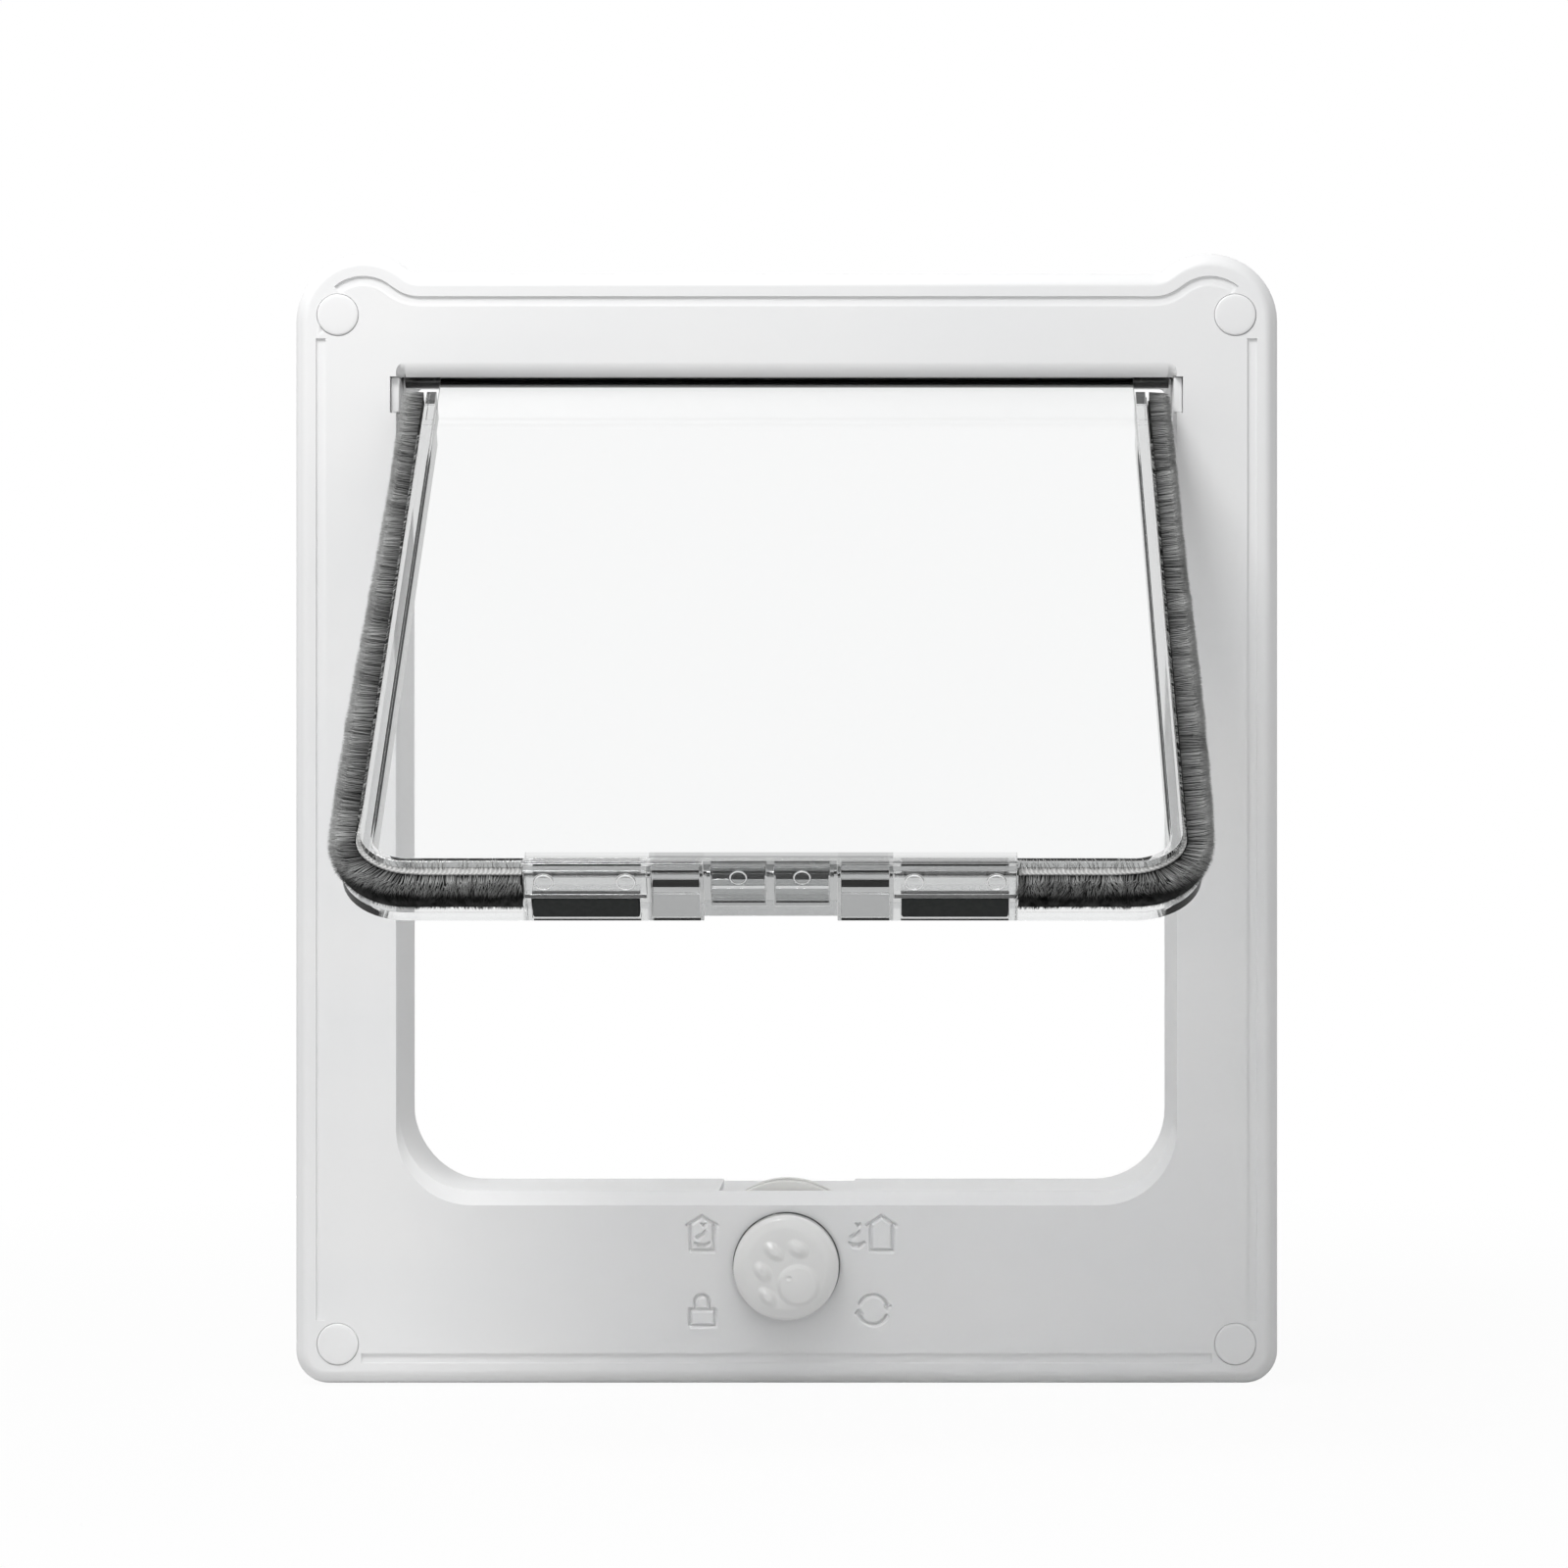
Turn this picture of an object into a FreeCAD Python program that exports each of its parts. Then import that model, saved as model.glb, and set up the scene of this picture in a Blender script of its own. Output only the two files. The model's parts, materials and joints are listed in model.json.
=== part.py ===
import FreeCAD, Part
import math
import os
import Sketcher
from FreeCAD import Rotation, Vector

# Cat flap for a door, in millimetres. X runs to the right, Y into the door and Z up.
# The origin is the centre of the opening, on the plane where the front flange meets the door.

SIZES = {
    # outline shared by the two frames
    "frame_width": 251.0,
    "side_band": 26.7,
    "top_band": 26.5,
    "bottom_band": 49.2,
    "corner_radius": 8.3,
    "ear_radius": 17.5,
    "ear_rise": 5.2,
    "ear_blend": 5.0,
    "edge_round": 2.6,
    "rim_wall": 2.4,
    "skin": 2.4,
    # front flange and its opening
    "flange_depth": 16.0,
    "opening_height": 208.0,
    "opening_corner": 18.5,
    "lintel_corner": 1.5,
    "bevel_side": 0.8,
    "bevel_sill": 3.5,
    "lintel_lip": 2.8,
    "liner_wall": 2.2,
    "liner_reach": 20.0,
    "notch_width": 34.6,
    "notch_lip": 3.0,
    # decorative grooves on the front face
    "groove_width": 2.5,
    "groove_deep": 0.6,
    "groove_inset": 6.7,
    "groove_top_inset": 7.3,
    "groove_cap_gap": 6.0,
    # rear frame
    "door_gap": 32.0,
    "rear_depth": 9.0,
    "sleeve_gap": 0.3,
    "sleeve_start": 4.0,
    # screws and caps
    "screw_inset": 11.0,
    "screw_below_top": 10.8,
    "screw_above_bottom": 10.3,
    "boss_radius": 7.0,
    "screw_radius": 2.0,
    "screw_play": 0.3,
    "head_radius": 3.8,
    "head_thick": 2.6,
    "head_seat": 8.0,
    "cap_radius": 5.3,
    "cap_proud": 0.5,
    "cap_play": 0.1,
    "pilot_depth": 6.0,
    # hinge
    "hinge_rise": 1.5,
    "hinge_depth": 8.3,
    "rod_radius": 1.5,
    "rod_play": 0.05,
    "rod_seat": 2.4,
    "barrel_radius": 3.8,
    "barrel_gap": 0.8,
    "barrel_room": 1.2,
    "clip_height": 9.3,
    "clip_setback": 1.6,
    "clip_play": 0.1,
    "raise_angle": -51.5,
    # clear flap, measured from the hinge axis while it hangs
    "foot_gap": 3.4,
    "flap_front": 3.6,
    "flap_rear": 9.4,
    "seat_gap": 7.6,
    "seat_rise": 4.8,
    "seat_corner": 11.0,
    "rim_start": 20.5,
    "shoulder_start": 14.0,
    "shoulder_rear": 5.6,
    "side_wall": 2.5,
    "foot_wall": 1.2,
    "window": 2.0,
    "lip_reach": 4.8,
    "lip_thick": 2.4,
    "block_width": 108.4,
    "block_height": 11.0,
    "block_front": 6.9,
    "block_front_foot": 0.9,
    "block_front_top": 5.3,
    "block_nose": 4.2,
    "block_roof_front": -1.2,
    # pile strips
    "pile_height": 7.0,
    "pile_drop": 7.3,
    "pile_front": 1.5,
    "pile_width": 7.9,
    "pile_round": 2.4,
    "pile_gap": 0.3,
    # flap magnets and their covers
    "magnet_end": 13.6,
    "magnet_width": 23.6,
    "magnet_thick": 5.3,
    "magnet_height": 8.6,
    "magnet_front": 3.3,
    "pocket_play": 0.15,
    "cover_width": 27.0,
    "cover_height": 2.4,
    "cover_front": 4.8,
    "stud_radius": 2.2,
    "stud_offset": 9.0,
    "stud_proud": 0.4,
    "core_wall": 0.8,
    "core_front": 5.0,
    "core_step": 2.0,
    "core_rear": 8.4,
    "core_low": 2.6,
    "core_high": 8.0,
    # latches
    "latch_offset": 7.0,
    "latch_width": 11.6,
    "latch_play": 0.3,
    "pin_front": 1.8,
    "pin_above": 3.3,
    "pin_radius": 0.8,
    "pin_play": 0.05,
    "pin_length": 0.9,
    "hub_radius": 1.3,
    "hub_room": 0.3,
    "latch_plate": 1.3,
    "latch_front": 4.4,
    "latch_rear": 5.6,
    "latch_lift_room": 2.2,
    "finger_front": 0.2,
    "finger_thick": 3.0,
    "latch_relief": 1.6,
    "latch_relief_edge": 1.6,
    "latch_stud": 2.0,
    # lock drum, knob and sill magnets
    "lock_drop": 18.8,
    "drum_radius": 21.2,
    "drum_hub": 8.0,
    "drum_flange": 2.5,
    "drum_front": 3.7,
    "drum_length": 10.9,
    "tab_radius": 23.2,
    "tab_width": 11.0,
    "knob_radius": 13.4,
    "knob_length": 8.4,
    "knob_round": 2.6,
    "spindle_radius": 5.0,
    "spindle_play": 0.05,
    "drive_width": 7.0,
    "drive_length": 8.0,
    "thrust_radius": 8.0,
    "ring_radius": 13.7,
    "ring_thick": 1.0,
    "ring_gap": 0.1,
    "knob_screw_radius": 1.5,
    "knob_screw_head": 3.4,
    "knob_screw_thick": 1.2,
    "knob_screw_reach": 7.0,
    "pad_proud": 0.7,
    "sill_magnet_width": 24.0,
    "sill_magnet_thick": 4.0,
    "sill_magnet_deep": 8.0,
    "cradle_wall": 1.2,
    "cradle_play": 0.1,
}

doc = FreeCAD.newDocument("cat_flap")
sheet = doc.addObject("Spreadsheet::Sheet", "sheet")
for row, (alias, number) in enumerate(SIZES.items(), start=1):
    sheet.set(f"A{row}", alias)
    sheet.set(f"B{row}", str(number))
    sheet.setAlias(f"B{row}", alias)
doc.recompute()


class Size:
    """A length with its number and the sheet expression that gives it."""

    def __init__(self, number, text):
        self.number = float(number)
        self.text = text

    def __add__(self, other):
        other = as_size(other)
        return Size(self.number + other.number, f"({self.text} + {other.text})")

    def __sub__(self, other):
        other = as_size(other)
        return Size(self.number - other.number, f"({self.text} - {other.text})")

    def __mul__(self, factor):
        return Size(self.number * factor, f"({self.text} * {factor})")

    def __truediv__(self, factor):
        return Size(self.number / factor, f"({self.text} / {factor})")

    def __neg__(self):
        return Size(-self.number, f"(0 - {self.text})")


def as_size(value):
    return value if isinstance(value, Size) else Size(value, f"{value}")


def sized(alias):
    return Size(sheet.get(alias), f"sheet.{alias}")


def bind(thing, path, size):
    thing.setExpression(path, as_size(size).text)


ZERO = as_size(0.0)
S = {alias: sized(alias) for alias in SIZES}

# places that several pieces share
HALF_OPEN = S["frame_width"] / 2 - S["side_band"]
HALF_TALL = S["opening_height"] / 2
FRAME_TOP = HALF_TALL + S["top_band"]
FRAME_BOTTOM = HALF_TALL + S["bottom_band"]
HINGE_Z = HALF_TALL + S["hinge_rise"]
FLAP_DROP = HINGE_Z + HALF_TALL - S["foot_gap"]
SEAT_DROP = FLAP_DROP - S["seat_rise"]
SEAT_HALF = HALF_OPEN - S["seat_gap"]
SCREW_X = S["frame_width"] / 2 - S["screw_inset"]
SCREW_TOP = FRAME_TOP - S["screw_below_top"]
SCREW_BOTTOM = FRAME_BOTTOM - S["screw_above_bottom"]
MAGNET_X = S["block_width"] / 2 - S["magnet_end"]
FRONT = -S["flange_depth"]
SKIN_BACK = FRONT + S["skin"]
HINGE_Y = FRONT + S["hinge_depth"]
ROD_HALF = HALF_OPEN + S["rod_seat"] - S["clip_play"]
POCKET_TOP = HINGE_Z + S["barrel_radius"] + S["barrel_room"]
REAR_DOOR = S["door_gap"]
REAR_BACK = S["door_gap"] + S["rear_depth"]
SLEEVE_GROWTH = S["liner_wall"] + S["sleeve_gap"]
SCREW_PLACES = {
    "top_left": (-SCREW_X, SCREW_TOP),
    "top_right": (SCREW_X, SCREW_TOP),
    "bottom_left": (-SCREW_X, -SCREW_BOTTOM),
    "bottom_right": (SCREW_X, -SCREW_BOTTOM),
}
SIDES = {"left": -1, "right": 1}
BLOCK_FOOT = -FLAP_DROP
PIN_Y = -S["pin_front"]
PIN_Z = BLOCK_FOOT + S["pin_above"]
LOCK_Z = -(HALF_TALL + S["lock_drop"])
DRUM_FRONT = FRONT + S["drum_front"]
DRUM_BACK = DRUM_FRONT + S["drum_length"]

EAR_GROOVE_END = math.radians(50.0)
PLANE_NORMAL_SIGN = {"XZ_Plane": -1, "XY_Plane": 1, "YZ_Plane": 1}


def new_body(label):
    body = doc.addObject("PartDesign::Body", label)
    body.Label = label
    return body


def new_sketch(body, plane, level):
    """A sketch parallel to one of the body's own origin planes, at the given level."""
    sketch = body.newObject("Sketcher::SketchObject", f"{body.Name}_sketch")
    support = next(o for o in body.Origin.OriginFeatures if o.Role == plane)
    sketch.AttachmentSupport = [(support, "")]
    sketch.MapMode = "FlatFace"
    signed = as_size(level) * PLANE_NORMAL_SIGN[plane]
    bind(sketch, "AttachmentOffset.Base.z", signed)
    return sketch


def hold(sketch, kind, geo, point, size):
    """Ties one coordinate of a point to the sheet, measured from the sketch's origin."""
    index = sketch.addConstraint(Sketcher.Constraint(kind, -1, 1, geo, point, size.number))
    bind(sketch, f"Constraints[{index}]", size)


def hold_radius(sketch, geo, size):
    index = sketch.addConstraint(Sketcher.Constraint("Radius", geo, size.number))
    bind(sketch, f"Constraints[{index}]", size)


def circle(sketch, x, y, radius):
    x, y, radius = as_size(x), as_size(y), as_size(radius)
    centre = Vector(x.number, y.number, 0)
    geo = sketch.addGeometry(Part.Circle(centre, Vector(0, 0, 1), radius.number))
    hold(sketch, "DistanceX", geo, 3, x)
    hold(sketch, "DistanceY", geo, 3, y)
    hold_radius(sketch, geo, radius)


def outline(sketch, corners):
    """A closed outline of upright and level lines. A corner is (x, y) or (x, y, radius)."""
    spots = [(as_size(c[0]), as_size(c[1])) for c in corners]
    radii = [as_size(c[2]) if len(c) > 2 else None for c in corners]
    points = [Vector(x.number, y.number, 0) for x, y in spots]
    count = len(corners)
    along = [(points[(i + 1) % count] - points[i]).normalize() for i in range(count)]
    cut = [r.number if r else 0.0 for r in radii]
    lines = []
    for i in range(count):
        after = (i + 1) % count
        start = points[i] + along[i] * cut[i]
        end = points[after] - along[i] * cut[after]
        lines.append(sketch.addGeometry(Part.LineSegment(start, end)))
        level = abs(along[i].y) < 0.5
        sketch.addConstraint(Sketcher.Constraint("Horizontal" if level else "Vertical", lines[i]))
        hold(sketch, "DistanceY" if level else "DistanceX", lines[i], 1, spots[i][1 if level else 0])
    for i in range(count):
        before = i - 1
        if radii[i] is None:
            sketch.addConstraint(Sketcher.Constraint("Coincident", lines[before], 2, lines[i], 1))
            continue
        start = points[i] - along[before] * cut[i]
        end = points[i] + along[i] * cut[i]
        centre = start + along[i] * cut[i]
        middle = centre + (points[i] - centre).normalize() * cut[i]
        turning_left = along[before].cross(along[i]).z > 0
        geo = sketch.addGeometry(Part.Arc(start, middle, end))
        first, last = (1, 2) if turning_left else (2, 1)
        sketch.addConstraint(Sketcher.Constraint("Tangent", lines[before], 2, geo, first))
        sketch.addConstraint(Sketcher.Constraint("Tangent", geo, last, lines[i], 1))
        hold_radius(sketch, geo, radii[i])


def polygon(sketch, corners):
    """A closed outline of straight lines with every corner tied to the sheet."""
    spots = [(as_size(x), as_size(y)) for x, y in corners]
    points = [Vector(x.number, y.number, 0) for x, y in spots]
    lines = []
    for i, start in enumerate(points):
        lines.append(sketch.addGeometry(Part.LineSegment(start, points[(i + 1) % len(points)])))
    for i, (x, y) in enumerate(spots):
        sketch.addConstraint(Sketcher.Constraint("Coincident", lines[i - 1], 2, lines[i], 1))
        hold(sketch, "DistanceX", lines[i], 1, x)
        hold(sketch, "DistanceY", lines[i], 1, y)


def box_outline(sketch, x0, x1, y0, y1, low_radius=None, high_radius=None):
    """A rectangle whose two low corners and two high corners can be rounded."""
    low = (low_radius,) if low_radius else ()
    high = (high_radius,) if high_radius else ()
    outline(sketch, [(x0, y0, *low), (x1, y0, *low), (x1, y1, *high), (x0, y1, *high)])


def extrude(kind, body, sketch, length, positive):
    """A pad or pocket that runs towards the positive or negative side of its plane's axis."""
    feature = body.newObject(f"PartDesign::{kind}", f"{body.Name}_{kind.lower()}")
    feature.Profile = sketch
    bind(feature, "Length", length)
    support = sketch.AttachmentSupport[0][0]
    natural = PLANE_NORMAL_SIGN[support.Role] > 0
    if kind == "Pocket":
        natural = not natural
    feature.Reversed = natural != positive
    volume = feature.BaseFeature.Shape.Volume if feature.BaseFeature else 0.0
    doc.recompute()
    grown = feature.Shape.Volume - volume
    if (kind == "Pad") != (grown > 0):
        raise RuntimeError(f"{feature.Name} changed nothing")
    return feature


def pad(body, plane, level, length, positive, draw):
    sketch = new_sketch(body, plane, level)
    draw(sketch)
    return extrude("Pad", body, sketch, length, positive)


def pocket(body, plane, level, length, positive, draw):
    sketch = new_sketch(body, plane, level)
    draw(sketch)
    return extrude("Pocket", body, sketch, length, positive)


def soften(body, kind, size, chosen):
    """A fillet or chamfer on every edge of the body that the test picks."""
    base = body.Tip
    names = [f"Edge{i}" for i, edge in enumerate(base.Shape.Edges, start=1) if chosen(edge)]
    if not names:
        raise RuntimeError(f"{body.Label} has no edge to soften")
    feature = body.newObject(f"PartDesign::{kind}", f"{body.Name}_{kind.lower()}")
    feature.Base = (base, names)
    bind(feature, "Radius" if kind == "Fillet" else "Size", size)
    doc.recompute()
    return feature


def lies_at(edge, axis, level):
    """True where the whole edge lies in the plane that crosses the axis at this level."""
    box = edge.BoundBox
    low, high = getattr(box, f"{axis}Min"), getattr(box, f"{axis}Max")
    return abs(low - level.number) < 1e-3 and abs(high - level.number) < 1e-3


def runs_along(edge, axis):
    box = edge.BoundBox
    lengths = {a: getattr(box, f"{a}Length") for a in "XYZ"}
    return all(lengths[a] < 1e-3 for a in "XYZ" if a != axis)


def place(body, x, y, z):
    bind(body, "Placement.Base.x", x)
    bind(body, "Placement.Base.y", y)
    bind(body, "Placement.Base.z", z)


def hang_on_hinge(piece):
    """Puts a piece drawn about the hinge axis on that axis, raised with the flap."""
    piece.Placement = FreeCAD.Placement(Vector(0, 0, 0), Rotation(Vector(1, 0, 0), 1))
    place(piece, ZERO, HINGE_Y, HINGE_Z)
    bind(piece, "Placement.Rotation.Angle", S["raise_angle"])


def frame_plate(body, face, depth, outwards):
    """The flange of a frame: a rounded plate with an ear on each top corner."""
    half = S["frame_width"] / 2
    ear_x = half - S["ear_radius"]
    ear_z = FRAME_TOP + S["ear_rise"] - S["ear_radius"]

    def plate(sketch):
        box_outline(sketch, -half, half, -FRAME_BOTTOM, FRAME_TOP,
                    S["corner_radius"], S["ear_radius"] - S["ear_rise"])

    def ears(sketch):
        circle(sketch, -ear_x, ear_z, S["ear_radius"])
        circle(sketch, ear_x, ear_z, S["ear_radius"])

    pad(body, "XZ_Plane", face, depth, outwards, plate)
    pad(body, "XZ_Plane", face, depth, outwards, ears)
    soften(body, "Fillet", S["ear_blend"], lambda e: runs_along(e, "Y")
           and lies_at(e, "Z", FRAME_TOP) and abs(e.BoundBox.XMin) < ear_x.number)
    outer = face + depth if outwards else face - depth
    soften(body, "Chamfer", S["edge_round"], lambda e: lies_at(e, "Y", outer))
    hollow = depth - S["skin"]
    wall = S["rim_wall"]

    def inner_plate(sketch):
        box_outline(sketch, -(half - wall), half - wall, -(FRAME_BOTTOM - wall),
                    FRAME_TOP - wall, S["corner_radius"] - wall,
                    S["ear_radius"] - S["ear_rise"] - wall)

    def inner_ears(sketch):
        circle(sketch, -ear_x, ear_z, S["ear_radius"] - wall)
        circle(sketch, ear_x, ear_z, S["ear_radius"] - wall)

    pocket(body, "XZ_Plane", face, hollow, outwards, inner_plate)
    pocket(body, "XZ_Plane", face, hollow, outwards, inner_ears)


def opening_outline(sketch, growth):
    """The opening's outline, grown outwards by a wall or a clearance."""
    box_outline(sketch, -(HALF_OPEN + growth), HALF_OPEN + growth, -(HALF_TALL + growth),
                HALF_TALL + growth, S["opening_corner"] + growth, S["lintel_corner"] + growth)


def screw_circles(sketch, radius):
    for x, z in SCREW_PLACES.values():
        circle(sketch, x, z, radius)


def cut_bevel(body):
    """The slope around the front of the opening, wide at sill and lintel and narrow at the sides."""
    wide = new_sketch(body, "XZ_Plane", FRONT)
    box_outline(wide, -(HALF_OPEN + S["bevel_side"]), HALF_OPEN + S["bevel_side"],
                -(HALF_TALL + S["bevel_sill"]), HALF_TALL + S["bevel_sill"],
                S["opening_corner"] + S["bevel_side"], S["lintel_corner"] + S["bevel_side"])
    narrow = new_sketch(body, "XZ_Plane", FRONT + S["lintel_lip"])
    opening_outline(narrow, ZERO)
    loft = body.newObject("PartDesign::SubtractiveLoft", f"{body.Name}_bevel")
    loft.Profile = wide
    loft.Sections = [narrow]
    loft.Ruled = True
    doc.recompute()


def groove_sketch(sketch):
    """Straight grooves, set in from each edge and stopped short of the caps."""
    half = S["groove_width"] / 2
    side = S["frame_width"] / 2 - S["groove_inset"]
    reach_x = SCREW_X - S["groove_cap_gap"]
    low = SCREW_BOTTOM - S["groove_cap_gap"]
    high = SCREW_TOP - S["groove_cap_gap"]
    for x in (-side, side):
        box_outline(sketch, x - half, x + half, -low, high)
    bottom = -(FRAME_BOTTOM - S["groove_inset"])
    box_outline(sketch, -reach_x, reach_x, bottom - half, bottom + half)


def top_groove(sketch):
    """One groove along the top that rises through a soft bend into an arc inside each ear."""
    ear_x = S["frame_width"] / 2 - S["ear_radius"]
    ear_z = FRAME_TOP + S["ear_rise"] - S["ear_radius"]
    ends = {}
    for way in (-1, 1):
        half = S["groove_width"] / 2 * way
        level = FRAME_TOP - S["groove_top_inset"] + half
        ear = S["ear_radius"] - S["groove_top_inset"] + half
        bend = S["ear_blend"] + S["groove_top_inset"] - half
        rise = level.number + bend.number - ear_z.number
        run = math.sqrt((ear.number + bend.number) ** 2 - rise ** 2)
        bends = []
        for side in (-1, 1):
            centre = Vector(side * ear_x.number, ear_z.number, 0)
            low = Vector(side * (ear_x.number - run), level.number, 0)
            middle = low + Vector(0, bend.number, 0)
            meet = centre + (middle - centre).normalize() * ear.number
            tip = centre + Vector(side * math.cos(EAR_GROOVE_END), math.sin(EAR_GROOVE_END), 0) * ear.number
            peak = centre + Vector(0, ear.number, 0)
            dip = middle + ((low + meet) / 2 - middle).normalize() * bend.number
            bow = sketch.addGeometry(Part.Arc(low, dip, meet) if side > 0 else Part.Arc(meet, dip, low))
            arc = sketch.addGeometry(Part.Arc(tip, peak, meet) if side > 0 else Part.Arc(meet, peak, tip))
            hold(sketch, "DistanceX", arc, 3, ear_x * side)
            hold(sketch, "DistanceY", arc, 3, ear_z)
            hold_radius(sketch, arc, ear)
            hold_radius(sketch, bow, bend)
            bends.append((side, bow, arc))
            ends[(way, side)] = (arc, 1 if side > 0 else 2)
            hold(sketch, "DistanceX", arc, 1 if side > 0 else 2,
                 (ear_x + ear * math.cos(EAR_GROOVE_END)) * side)
        low_x = ear_x.number - run
        left_end, right_end = Vector(-low_x, level.number, 0), Vector(low_x, level.number, 0)
        line = sketch.addGeometry(Part.LineSegment(left_end, right_end))
        sketch.addConstraint(Sketcher.Constraint("Horizontal", line))
        hold(sketch, "DistanceY", line, 1, level)
        for side, bow, arc in bends:
            near, far = (1, 2) if side > 0 else (2, 1)
            sketch.addConstraint(Sketcher.Constraint("Tangent", line, 2 if side > 0 else 1, bow, near))
            sketch.addConstraint(Sketcher.Constraint("Tangent", bow, far, arc, 2 if side > 0 else 1))
    for side in (-1, 1):
        (low_arc, low_end), (high_arc, high_end) = ends[(-1, side)], ends[(1, side)]
        first, last = sketch.getPoint(low_arc, low_end), sketch.getPoint(high_arc, high_end)
        cap = sketch.addGeometry(Part.LineSegment(first, last))
        sketch.addConstraint(Sketcher.Constraint("Coincident", cap, 1, low_arc, low_end))
        sketch.addConstraint(Sketcher.Constraint("Coincident", cap, 2, high_arc, high_end))


def sill_magnet_box(side, growth):
    """Corners of the space of a sill magnet, seen from the front."""
    middle = MAGNET_X * side
    half = S["sill_magnet_width"] / 2
    high = -(HALF_TALL + S["liner_wall"] + S["cradle_play"])
    low = high - S["sill_magnet_thick"]
    return middle - half - growth, middle + half + growth, low - growth, high


def make_front_frame():
    body = new_body("front_frame")
    frame_plate(body, ZERO, S["flange_depth"], False)
    inner_depth = S["flange_depth"] - S["skin"]
    housing = S["rod_seat"] + S["liner_wall"] + 1.0

    def hinge_housing(sketch):
        box_outline(sketch, -(HALF_OPEN + housing), HALF_OPEN + housing,
                    HALF_TALL - S["clip_height"] - S["liner_wall"], POCKET_TOP + S["liner_wall"])

    def hinge_pocket(sketch):
        box_outline(sketch, -HALF_OPEN, HALF_OPEN, HALF_TALL - 1.0, POCKET_TOP)

    def notch(sketch):
        half = S["notch_width"] / 2
        low = -(HALF_TALL + S["liner_wall"] + 1.0)
        box_outline(sketch, -half, half, low, -(HALF_TALL - 1.0))

    def cradles(sketch):
        for side in SIDES.values():
            wall = S["cradle_play"] + S["cradle_wall"]
            box_outline(sketch, *sill_magnet_box(side, wall))

    def magnet_room(sketch):
        for side in SIDES.values():
            box_outline(sketch, *sill_magnet_box(side, S["cradle_play"]))

    pad(body, "XZ_Plane", SKIN_BACK, inner_depth + S["liner_reach"], True,
        lambda s: opening_outline(s, S["liner_wall"]))
    pad(body, "XZ_Plane", SKIN_BACK, inner_depth, True, hinge_housing)
    pad(body, "XZ_Plane", SKIN_BACK, inner_depth, True,
        lambda s: screw_circles(s, S["boss_radius"]))
    pad(body, "XZ_Plane", SKIN_BACK, S["cradle_wall"] + S["sill_magnet_deep"], True, cradles)
    pocket(body, "XZ_Plane", FRONT - 1.0, S["flange_depth"] + S["liner_reach"] + 2.0, True,
           lambda s: opening_outline(s, ZERO))
    pocket_deep = S["flange_depth"] - S["lintel_lip"] - S["skin"]
    pocket(body, "XZ_Plane", FRONT + S["lintel_lip"], pocket_deep, True, hinge_pocket)
    cut_bevel(body)
    notch_deep = S["flange_depth"] - S["notch_lip"] + S["liner_reach"] + 1.0
    pocket(body, "XZ_Plane", FRONT + S["notch_lip"], notch_deep, True, notch)
    pocket(body, "XZ_Plane", SKIN_BACK + S["cradle_play"], S["flange_depth"], True, magnet_room)
    cut_rod_slots(body)
    cut_screw_holes(body)
    pad(body, "XZ_Plane", SKIN_BACK, S["drum_front"] - S["skin"] - S["cradle_play"], True,
        lambda s: circle(s, ZERO, LOCK_Z, S["thrust_radius"]))
    pocket(body, "XZ_Plane", FRONT - 1.0, S["flange_depth"], True,
           lambda s: circle(s, ZERO, LOCK_Z, S["spindle_radius"] + S["spindle_play"]))
    pocket(body, "XZ_Plane", FRONT, S["groove_deep"], True, groove_sketch)
    pocket(body, "XZ_Plane", FRONT, S["groove_deep"], True, top_groove)
    return body


def cut_rod_slots(body):
    """The clip's recess at each top corner, and the channel that the rod's end slides up."""
    deep = S["rod_seat"]
    bore = S["rod_radius"] + S["rod_play"]
    for side in SIDES.values():
        start = (HALF_OPEN - 1.0) * side

        def recess(sketch):
            box_outline(sketch, FRONT - 1.0, HINGE_Y + bore, HALF_TALL - S["clip_height"], HALF_TALL)

        def channel(sketch):
            box_outline(sketch, HINGE_Y - bore, HINGE_Y + bore, HALF_TALL - 1.0, HINGE_Z)

        def round_end(sketch):
            circle(sketch, HINGE_Y, HINGE_Z, bore)

        for draw in (recess, channel, round_end):
            pocket(body, "YZ_Plane", start, deep + 1.0, side > 0, draw)


def cut_screw_holes(body):
    """Pockets for the screw heads and their caps, and holes for the shanks."""
    steps = (
        (S["cap_radius"] + S["cap_play"], S["head_seat"]),
        (S["screw_radius"] + S["screw_play"], S["flange_depth"] + 1.0),
    )
    for radius, deep in steps:
        pocket(body, "XZ_Plane", FRONT, deep, True, lambda s: screw_circles(s, radius))


def make_rear_frame():
    body = new_body("rear_frame")
    frame_plate(body, REAR_DOOR, S["rear_depth"], True)
    reach = REAR_BACK - S["skin"] - S["sleeve_start"]
    pad(body, "XZ_Plane", REAR_BACK - S["skin"], reach, False,
        lambda s: opening_outline(s, SLEEVE_GROWTH + S["liner_wall"]))
    pad(body, "XZ_Plane", REAR_BACK - S["skin"], S["rear_depth"] - S["skin"], False,
        lambda s: screw_circles(s, S["boss_radius"]))
    pocket(body, "XZ_Plane", REAR_BACK + 1.0, reach + S["skin"] + 2.0, False,
           lambda s: opening_outline(s, SLEEVE_GROWTH))
    pocket(body, "XZ_Plane", REAR_DOOR, S["pilot_depth"], True,
           lambda s: screw_circles(s, S["screw_radius"] + S["spindle_play"]))
    return body


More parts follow.
